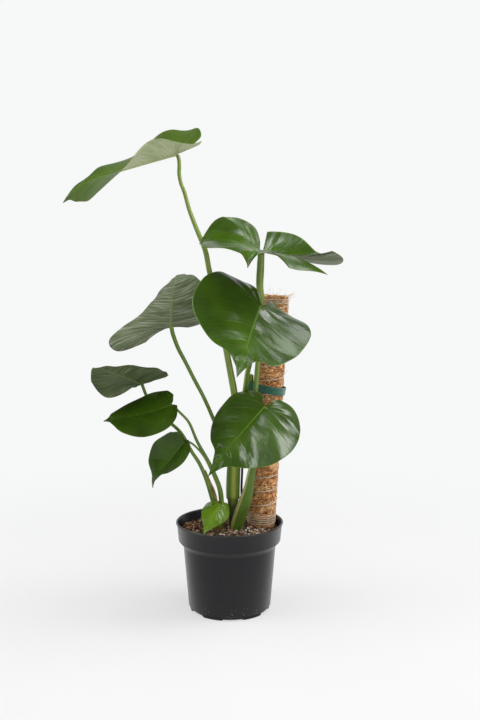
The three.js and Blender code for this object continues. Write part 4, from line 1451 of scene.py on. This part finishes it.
@dataclass
class Pot:
    """Thin nursery pot with a collar, a rolled lip and drain notches in its foot."""

    rim: float = 85.0
    height: float = 141.4
    foot: float = 63.4
    body_top: float = 73.4
    collar: float = 81.0
    collar_top: float = 83.4
    collar_bottom: float = 112.0
    chamfer: float = 8.0
    wall: float = 1.8
    floor: float = 2.4
    notches: int = 6
    notch_width: float = 30.0
    notch_depth: float = 4.5
    notch_height: float = 4.0
    notch_turn: float = 5.0
    floor_top: float = 7.5
    sides: int = 180

    def outside(self) -> list[tuple[float, float]]:
        """Profile from the foot to the lip.

        Returns:
            Points of (radius, height) in millimetres.
        """
        under = self.collar_bottom - self.chamfer
        return [
            (self.foot - self.notch_depth - 0.5, 0),
            (self.foot - self.notch_depth, 0),
            (self.foot - 0.8, 0),
            (self.foot, 0.8),
            (self.foot, self.notch_height + 0.2),
            (self.foot, 5.0),
            (self.foot + 1.6, 6.0),
            (self.foot + 2.0, 6.6),
            (self.body_top - 0.1, under - 1.5),
            (self.body_top + 0.3, under),
            (self.collar - 1.0, self.collar_bottom - 0.9),
            (self.collar, self.collar_bottom + 0.6),
            (self.collar_top, self.height - 3.6),
            (self.collar_top + 0.5, self.height - 3.0),
            (self.rim - 0.4, self.height - 2.6),
            (self.rim, self.height - 2.0),
            (self.rim, self.height - 0.7),
            (self.rim - 0.7, self.height),
        ]

    def inside(self) -> list[tuple[float, float]]:
        """Profile from the lip down to the floor.

        Returns:
            Points of (radius, height) in millimetres.
        """
        under = self.collar_bottom - self.chamfer
        return [
            (self.collar_top - self.wall + 0.8, self.height),
            (self.collar_top - self.wall, self.height - 1),
            (self.collar - self.wall, self.collar_bottom + 1),
            (self.body_top - self.wall, under + 1),
            (self.foot + 2 - self.wall, self.floor_top),
            (self.foot - self.wall, self.floor),
        ]

    def inner_radius(self, height: float) -> float:
        """Inner radius at a height.

        Args:
            height: the height in millimetres.

        Returns:
            The radius in millimetres.
        """
        wall = self.inside()[::-1]
        for (r0, z0), (r1, z1) in zip(wall, wall[1:]):
            if height <= z1:
                return r0 + (r1 - r0) * clamp((height - z0) / (z1 - z0))
        return wall[-1][0]

    def build(self) -> None:
        """Builds the pot and cuts the notches by lifting the foot's edge."""
        bm = bmesh.new()
        turned(bm, [(0, 0), *self.outside(), *self.inside(), (0, self.floor)], self.sides)
        half_angle = math.asin(self.notch_width / 2 / self.foot)
        for vert in bm.verts:
            radius = math.hypot(vert.co.x, vert.co.y) / MM
            if vert.co.z / MM > 1 or radius < self.foot - self.notch_depth - 0.2:
                continue
            pitch = 2 * math.pi / self.notches
            angle = math.atan2(vert.co.y, vert.co.x) - math.radians(90 + self.notch_turn)
            if abs((angle + pitch / 2) % pitch - pitch / 2) < half_angle:
                vert.co.z = self.notch_height * MM
        finish_piece(bm, "pot_shell", PlasticFinish().material(), ["pot"], sharp=40)


@dataclass(frozen=True)
class Grains:
    """Loose grains of one kind, in one piece; a kind with a heap lies mostly round that place."""

    name: str
    finish: GrainFinish
    count: int
    sizes: tuple[float, float]
    flat: float = 0.8
    heap: tuple[float, float] | None = None
    spread: float = 0.0
    raised: float = 0.0

    RANGE = 78
    UNEVEN = 0.14

    def lay(self, ground: Callable[[float, float], float], dice: random.Random) -> None:
        """Lays the grains.

        Args:
            ground: gives the height of the ground at a place.
            dice: source of chance.
        """
        bm = bmesh.new()
        tone = kept_by(bm, "tone")
        for i in range(self.count):
            reach = self.RANGE * math.sqrt(dice.random())
            angle = dice.uniform(0, 2 * math.pi)
            x, y = reach * math.cos(angle), reach * math.sin(angle)
            if self.heap and i % 3:
                x = self.heap[0] + dice.gauss(0, self.spread)
                y = self.heap[1] + dice.gauss(0, self.spread * 0.6)
            if math.hypot(x, y) > self.RANGE:
                continue
            size = dice.uniform(*self.sizes)
            turn = Matrix.Rotation(dice.uniform(0, 6.28), 4, "Z")
            turn = turn @ Matrix.Rotation(dice.gauss(0, 0.5), 4, "X")
            stretch = Matrix.Diagonal((size * dice.uniform(1, 1.8), size, size * self.flat, 1))
            spot = Matrix.Translation((x, y, ground(x, y) + size * self.flat * 0.6 + self.raised))
            made = bmesh.ops.create_icosphere(
                bm, subdivisions=1, radius=1, matrix=Matrix.Scale(MM, 4) @ spot @ turn @ stretch
            )["verts"]
            shade = dice.random() ** 1.8
            for vert in made:
                push = Vector((dice.gauss(0, 1), dice.gauss(0, 1), dice.gauss(0, 1)))
                vert.co += push * (size * self.UNEVEN * MM)
                vert[tone] = Vector((shade, 0, 0))
        finish_piece(bm, self.name, self.finish.material(), sharp=25)


@dataclass
class PottingMix:
    """Bark and peat that fill the pot, with loose crumbs, chips and perlite on top."""

    pot: Pot
    level: float = 126.5
    lump: float = 1.4
    mound: float = 4.0
    mound_at: tuple[float, float] = (15, 8)
    mound_spread: float = 1500.0
    clear: float = 0.5
    top_radius: float = 76.0
    rings: int = 34
    sides: int = 130
    seed: int = 11
    grains: tuple[Grains, ...] = (
        Grains("soil_crumbs", PEAT_CRUMBS, 1700, (0.6, 1.5)),
        Grains("soil_bark", BARK_CHIPS, 900, (0.8, 2.5), flat=0.6),
        Grains("soil_perlite", PERLITE_WHITE, 170, (0.5, 1.6), heap=(24, -20), spread=21, raised=0.5),
    )

    def height(self, x: float, y: float) -> float:
        """Height of the surface.

        Args:
            x: place across, in millimetres.
            y: place towards the back, in millimetres.

        Returns:
            The height in millimetres.
        """
        lump = math.sin(x * 0.21 + 1.3) * math.cos(y * 0.17 - 0.4) + 0.6 * math.sin(x * 0.43 - y * 0.37)
        away = (x - self.mound_at[0]) ** 2 + (y - self.mound_at[1]) ** 2
        mound = math.exp(-away / self.mound_spread)
        return self.level + self.lump * lump * 0.6 + self.mound * mound

    def build(self) -> None:
        """Builds the bed and what lies on it."""
        dice = random.Random(self.seed)
        self._bed()
        for grains in self.grains:
            grains.lay(self.height, dice)

    def _bed(self) -> None:
        """Closed body with a lumpy top."""
        heights = [self.pot.floor + 0.3, self.pot.floor_top, 105, 113, self.level]
        side = [(self.pot.inner_radius(z) - self.clear, z) for z in heights]
        rings = [(self.top_radius * (1 - i / self.rings), self.level) for i in range(self.rings + 1)]
        bm = bmesh.new()
        turned(bm, [(0, heights[0]), *side, *rings], self.sides)
        for vert in bm.verts:
            if vert.co.z > (self.level - 0.2) * MM:
                x, y = vert.co.x / MM, vert.co.y / MM
                rough = 1.6 * noise.noise(Vector((x, y, 0)) * 0.35)
                rough += 0.9 * noise.noise(Vector((x, y, 4)) * 0.9)
                edge = ease(81, 74, math.hypot(x, y))
                vert.co.z = (self.height(x, y) + rough * edge - 0.5) * MM
        finish_piece(bm, "soil_bed", PEAT_DARK.material(), ["soil"])


@dataclass
class Strand:
    """One loose fibre: points in metres and its half thickness."""

    points: list[Vector]
    radius: float


def add_strands(bm: Mesh, strands: Sequence[Strand]) -> None:
    """Adds fibres of the same number of points as one grid, cut apart between fibres.

    Args:
        bm: the mesh to add to.
        strands: the fibres.
    """
    length = len(strands[0].points)
    owner: dict[Vert, int] = {}

    def shape(vert: Vert, column: int, row: int) -> None:
        """Places one point of a fibre's wall.

        Args:
            vert: the point.
            column: its number round the fibre.
            row: its number along all the fibres.
        """
        number, step = divmod(row, length)
        strand = strands[number]
        here = strand.points[step]
        heading = strand.points[min(step + 1, length - 1)] - strand.points[max(step - 1, 0)]
        side = heading.orthogonal().normalized()
        up = heading.normalized().cross(side)
        angle = 2 * math.pi * column / 3
        radius = 0.0 if step in (0, length - 1) else strand.radius
        vert.co = here + (side * math.cos(angle) + up * math.sin(angle)) * radius
        owner[vert] = number

    shaped_grid(bm, 3, len(strands) * length - 1, shape)
    between = [face for face in bm.faces if len({owner[vert] for vert in face.verts}) > 1]
    bmesh.ops.delete(bm, geom=between, context="FACES")
    merge(bm)


@dataclass
class CoirPole:
    """Stake wrapped in coir, wound with cord, and the strap that holds the stem to it."""

    foot: Triple = (50.8, 25, 128)
    lean: Triple = (0.0565, 0.02, 1)
    coir: float = 21.5
    length: float = 370.0
    buried: float = 9.0
    stake: float = 9.0
    stake_buried: float = 106.0
    stake_top: float = 366.0
    cord: float = 0.55
    bunch: tuple[int, float, float] = (5, 3.4, 3.0)
    body: tuple[int, float] = (15, 22.4)
    top: tuple[int, float] = (3, 3.0)
    strap_width: float = 12.0
    strap_thickness: float = 1.4
    strap_height: float = 350.0
    strap_tilt: float = 10.8
    strap_gap: float = 3.3
    stem_at_strap: tuple[float, float] = (32, 23)
    stem_loop: float = 6.6
    fibres: int = 1500
    hairs: int = 90
    seed: int = 23

    STAKE_SIDES, STAKE_POINT = 40, 18
    MAT_SIDES, MAT_ROWS = 96, 190
    CORD_SIDES, CORD_STEPS = 6, 56
    STRAP_STEPS, STRAP_EDGE = 180, 0.4
    FIBRE_POINTS, FIBRE_REACH, FIBRE_RISE = 7, (8, 24), (0.2, 1.0)
    FIBRE_RADIUS, HAIR_RISE = (0.09, 0.17), 0.7
    PINCH_FROM, PINCH_TO = 9, 0.5

    def __post_init__(self) -> None:
        """Works out how the pole leans and where its centre is at the strap."""
        self.turn = Vector((0, 0, 1)).rotation_difference(Vector(self.lean))
        axis = Vector(self.lean).normalized()
        self.strap_centre = Vector(self.foot) + axis * ((self.strap_height - self.foot[2]) / axis.z)

    def at(self, angle: float, radius: float, height: float) -> Vector:
        """Place in metres at an angle round the pole and a height above the soil."""
        return (Vector(self.foot) + self.turn @ round_about(angle, radius, height)) * MM

    @property
    def turns(self) -> int:
        """Turns of the cord."""
        return self.bunch[0] + self.body[0] + self.top[0]

    def cord_height(self, turn: float) -> float:
        """Height of the cord after a number of turns.

        Args:
            turn: number of turns from the soil.

        Returns:
            The height in millimetres.
        """
        low, low_pitch, start = self.bunch
        if turn < low:
            return start + turn * low_pitch
        first = start + low * low_pitch
        if turn - low < self.body[0]:
            return first + (turn - low) * self.body[1]
        return first + self.body[0] * self.body[1] + (turn - low - self.body[0]) * self.top[1]

    def pinch(self, angle: float, height: float) -> float:
        """How tightly the cord holds the coir at a place, from 0 to 1.

        Args:
            angle: angle round the pole in radians.
            height: height above the soil in millimetres.

        Returns:
            1 at the cord and 0 away from it.
        """
        around = angle / (2 * math.pi) % 1
        gap = min(abs(self.cord_height(turn + around) - height) for turn in range(self.turns))
        return ease(self.PINCH_FROM, self.PINCH_TO, gap)

    def build(self) -> None:
        """Builds the pole's pieces."""
        self._stake()
        self._coir()
        self._cord()
        self._strap()
        self._fibres()

    def _stake(self) -> None:
        """Round wooden stake with a pointed foot."""
        bm = bmesh.new()
        length = self.stake_buried + self.stake_top
        side = [(self.stake - 5, 0), (self.stake, self.STAKE_POINT), (self.stake, length - 0.8)]
        turned(bm, [(0, 0), *side, (self.stake - 0.8, length), (0, length)], self.STAKE_SIDES)
        for vert in bm.verts:
            middle = self.at(0, 0, vert.co.z / MM - self.stake_buried)
            vert.co = middle + self.turn @ Vector((*vert.co.xy, 0))
        finish_piece(bm, "pole_stake_round", STAKE_WOOD.material(), ["pole_stake"], sharp=40)

    def _coir(self) -> None:
        """Matted coir, pinched where the cord holds it and frayed at its top edge."""
        top, sides = self.length, self.MAT_SIDES
        profile = [(0, -self.buried), (self.coir - 0.4, -self.buried)]
        profile += [(self.coir, top * i / self.MAT_ROWS) for i in range(self.MAT_ROWS - 2)]
        profile += [(self.coir - 0.6, top - 1.4), (self.coir - 2, top), (17, top + 0.4), (13, top)]
        profile += [(self.stake + 0.4, top - 0.8), (self.stake + 0.3, top - 8), (0, top - 8)]
        bm = bmesh.new()

        def shape(vert: Vert, column: int, row: int) -> None:
            """Places one point of the mat.

            Args:
                vert: the point.
                column: its number round the mat.
                row: its number along the profile.
            """
            radius, height = profile[row]
            angle = 2 * math.pi * (column % sides) / sides
            spot = round_about(angle, radius, height)
            rough = noise.noise(spot * 0.16) * 0.9 + noise.noise(spot * 0.5) * 0.6
            rough += noise.noise(Vector((spot.x, spot.y, spot.z * 2.4)) * 0.9) * 0.35
            loose = 1 - self.pinch(angle, height)
            outer = ease(12, 20, radius)
            radius += outer * (rough * (0.35 + 0.65 * loose) + 1.7 * loose - 0.7)
            height += (1 - outer) * rough + ease(top - 3, top, height) * rough
            vert.co = self.at(angle, radius if 0 < row < len(profile) - 1 else 0, height)

        shaped_grid(bm, sides, len(profile) - 1, shape)
        merge(bm)
        finish_piece(bm, "pole_coir_mat", CoirFinish().material(), ["pole_coir"])

    def _cord(self) -> None:
        """Cord wound round the coir from the soil to the top."""
        bm = bmesh.new()

        def shape(vert: Vert, column: int, row: int) -> None:
            """Places one point of the cord's wall.

            Args:
                vert: the point.
                column: its number round the cord.
                row: its number along it.
            """
            turn = row / self.CORD_STEPS
            angle, around = turn * 2 * math.pi, 2 * math.pi * column / self.CORD_SIDES
            sag = 0.5 * noise.noise(Vector((turn * 2.3, 1.7, 0)))
            slack = 0.25 * noise.noise(Vector((turn * 5.1, 8.2, 0)))
            radius = self.coir + 0.75 + slack + self.cord * math.cos(around)
            end = ease(0, 0.02, min(turn, self.turns - turn))
            height = self.cord_height(turn) + sag + self.cord * math.sin(around) * end
            vert.co = self.at(angle, radius if end else self.coir, height)

        shaped_grid(bm, self.CORD_SIDES, self.turns * self.CORD_STEPS, shape)
        merge(bm)
        finish_piece(bm, "pole_cord", CORD_PALE.material(), ["pole_twine"])

    def _strap_point(self, place: float, out: float) -> Vector:
        """Point of the strap's line at a share of the way round, a distance out from its inner face.

        Args:
            place: the share, from 0 to 1.
            out: the distance in millimetres.

        Returns:
            The point seen from above, in millimetres.
        """
        centre = self.strap_centre
        pole = Vector((centre.x + 0.3, centre.y))
        stem = Vector(self.stem_at_strap)
        big, small = self.coir + self.strap_gap, self.stem_loop
        to_pole = pole - stem
        bearing = math.atan2(to_pole.y, to_pole.x)
        opening = math.acos((big - small) / to_pole.length)
        share = place * 2
        if share < 1:
            swing = -(math.pi - opening) + (2 * math.pi - 2 * opening) * share
            lap = self.strap_thickness * ease(0.6, 0.66, share) * ease(0.9, 0.84, share)
            radius, middle, angle = big + out + lap * (out > 0), pole, bearing + swing
        else:
            angle = bearing + math.pi - opening + 2 * opening * (share - 1)
            radius, middle = small + out, stem
        return middle + Vector((math.cos(angle), math.sin(angle))) * radius

    def _strap(self) -> None:
        """Soft strap round the pole and the top of the main stem."""
        half, thick = self.strap_width / 2, self.strap_thickness
        rim = half - self.STRAP_EDGE
        section = [(0, -rim), (0.3, -half), (thick - 0.3, -half), (thick, -rim), (thick, 0)]
        section += [(thick, rim), (thick - 0.3, half), (0.3, half), (0, rim), (0, 0)]
        centre = self.strap_centre
        tilt = Matrix.Rotation(math.radians(self.strap_tilt), 3, "Y")
        bm = bmesh.new()

        def shape(vert: Vert, column: int, row: int) -> None:
            """Places one point of the strap's wall.

            Args:
                vert: the point.
                column: its number round the section.
                row: its number along the strap.
            """
            out, height = section[column % len(section)]
            point = self._strap_point((row % self.STRAP_STEPS) / self.STRAP_STEPS, out)
            arm = Vector((point.x - centre.x, point.y - centre.y, height))
            vert.co = (Vector((centre.x, centre.y, self.strap_height)) + tilt @ arm) * MM

        shaped_grid(bm, len(section), self.STRAP_STEPS, shape)
        merge(bm)
        finish_piece(bm, "tie_strap_felt", STRAP_FELT.material(), ["tie_strap"])

    def _fibres(self) -> None:
        """Fibres that lie on the mat, and hairs that stand off it, most of them at the top."""
        dice = random.Random(self.seed)
        strands = []
        for i in range(self.fibres + self.hairs):
            angle, height = dice.uniform(0, 2 * math.pi), dice.uniform(0, self.length)
            hair = i >= self.fibres
            if hair and i % 2:
                height = self.length - dice.uniform(0, 3)
            reach = dice.uniform(*self.FIBRE_REACH)
            slope = dice.gauss(0.1, 0.6)
            bend = dice.gauss(0, 0.8)
            out = dice.uniform(*self.FIBRE_RISE)
            points = []
            for step in range(self.FIBRE_POINTS):
                share = step / (self.FIBRE_POINTS - 1)
                run = reach * (share - 0.5)
                lift = reach * self.HAIR_RISE * share**1.3 if hair else out * math.sin(math.pi * share)
                up = run * math.sin(slope) + bend * reach * 0.4 * share * share + (hair * reach * 0.3 * share)
                around = angle + run * math.cos(slope) * (0.35 if hair else 1) / self.coir
                top = height + up if hair else min(height + up, self.length + 1.5)
                points.append(self.at(around, self.coir + 0.35 + lift, max(top, -2)))
            radius = dice.uniform(*self.FIBRE_RADIUS) * (1 if hair else 2)
            strands.append(Strand(points, radius * MM))
        bm = bmesh.new()
        add_strands(bm, strands)
        finish_piece(bm, "pole_fibres", COIR_FIBRE.material())


# Studio


@dataclass(frozen=True)
class Lamp:
    """Soft light that faces the plant, square unless tall; one that isn't glossy leaves no highlight."""

    name: str
    place: Triple
    size: float
    power: float
    target: Triple = (0.0, 0.0, 0.35)
    tall: float | None = None
    glossy: bool = True

    def build(self) -> None:
        """Adds the light."""
        data = bpy.data.lights.new(self.name, "AREA")
        data.shape = "RECTANGLE"
        data.size = self.size
        data.size_y = self.tall or self.size
        data.energy = self.power
        holder = show(self.name, data)
        holder.location = self.place
        holder.rotation_euler = (Vector(self.target) - Vector(self.place)).to_track_quat("-Z", "Y").to_euler()
        holder.visible_glossy = self.glossy


@dataclass
class Studio:
    """Pale floor, soft lights and the camera."""

    floor_half: float = 12.0
    camera_at: Triple = (0.0166, -1.547, 0.591)
    camera_tilt: float = 82.92
    lens: float = 50.0
    sensor: float = 36.0
    backdrop: Colour = srgb(247, 248, 248)
    floor_dark: Colour = srgb(136, 136, 136)
    floor_light: Colour = srgb(144, 144, 144)
    floor_glow: Colour = srgb(196, 196, 196)
    floor_fade: tuple[float, float] = (0.12, 1.1)
    glow: Triple = (0.0, 0.6, -0.9)
    glow_ends: tuple[float, float] = (-0.3, 0.5)
    behind: float = 0.95
    ahead: float = 0.05
    lights: tuple[Lamp, ...] = (
        Lamp("window_right", (1.15, 0.6, 1.8), 0.8, 4.6, tall=0.45),
        Lamp("window_front", (0.85, -0.45, 2.05), 0.75, 8.5, tall=0.4),
        Lamp("window_side", (1.68, 0.0, 1.36), 0.55, 9.0, tall=0.5),
        Lamp("window_left", (-1.42, -0.1, 1.63), 0.9, 5.5, tall=0.7),
        Lamp("strip", (1.1, -1.55, 0.75), 0.3, 1.8, tall=1.3),
        Lamp("sky_right", (1.5, 0.0, 1.7), 1.4, 13.0, glossy=False),
        Lamp("sky_left", (-1.5, -0.4, 1.5), 1.4, 12.0, glossy=False),
        Lamp("overhead", (-0.1, -0.3, 2.3), 1.8, 36.0, glossy=False),
        Lamp("front", (0.3, -2.2, 1.0), 1.6, 15.0, glossy=False),
    )

    def build(self) -> None:
        """Builds the floor, the lights and the camera."""
        bm = bmesh.new()
        bmesh.ops.create_grid(bm, x_segments=1, y_segments=1, size=self.floor_half)
        mesh = bpy.data.meshes.new("studio_floor")
        bm.to_mesh(mesh)
        bm.free()
        mesh.materials.append(self._floor_finish())
        floor = show("studio_floor", mesh)
        for lamp in self.lights:
            lamp.build()
        self._world()
        self._camera()

    def _floor_finish(self) -> Material:
        """Pale floor without a sheen, which fades into the backdrop away from the plant.

        Returns:
            The material.
        """
        graph = Paint("floor_pale")
        place = graph.place()
        across, along, _ = graph.parts(place)
        out = (across * across + along * along) ** 0.5
        far = out.step(*self.floor_fade)
        cloud = graph.cloud(place, 3, 3)
        return graph.finish(
            Base_Color=graph.mix(far, graph.mix(cloud, self.floor_dark, self.floor_light), srgb(0, 0, 0)),
            Roughness=0.5 + cloud * 0.2,
            Specular_IOR_Level=0.0,
            Emission_Color=graph.mix(far, self.floor_glow, self.backdrop),
            Emission_Strength=1.0,
        )

    def _world(self) -> None:
        """Pale surroundings: even to the eye, and as light bright behind and low, dark above and in front."""
        world = bpy.data.worlds.new("studio")
        bpy.context.scene.world = world
        graph = Graph(world)
        facing = graph.node("ShaderNodeTexCoord").outputs["Generated"]
        towards = graph.node("ShaderNodeVectorMath", {"operation": "DOT_PRODUCT"}, {0: facing, 1: self.glow})
        glow = Term(graph, towards.outputs["Value"]).step(*self.glow_ends, self.ahead, self.behind)
        lit = graph.node("ShaderNodeBackground", {}, {"Color": self.backdrop, "Strength": glow})
        seen = graph.node("ShaderNodeBackground", {}, {"Color": self.backdrop})
        camera = graph.node("ShaderNodeLightPath").outputs["Is Camera Ray"]
        both = graph.node("ShaderNodeMixShader", {}, {0: camera, 1: lit.outputs[0], 2: seen.outputs[0]})
        graph.node("ShaderNodeOutputWorld", {}, {"Surface": both.outputs[0]})

    def _camera(self) -> None:
        """Adds the camera at the photograph's angle."""
        data = bpy.data.cameras.new("camera")
        data.lens = self.lens
        data.sensor_width = self.sensor
        camera = show("camera", data)
        camera.location = self.camera_at
        camera.rotation_euler = (math.radians(self.camera_tilt), 0, 0)
        bpy.context.scene.camera = camera
        bpy.context.scene.view_settings.view_transform = "Standard"


def main() -> None:
    """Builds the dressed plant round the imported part."""
    logging.basicConfig(level=logging.INFO, format="%(message)s")
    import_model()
    pot = Pot()
    pot.build()
    PottingMix(pot).build()
    CoirPole().build()
    Foliage().build()
    Studio().build()


if __name__ == "__main__":
    main()
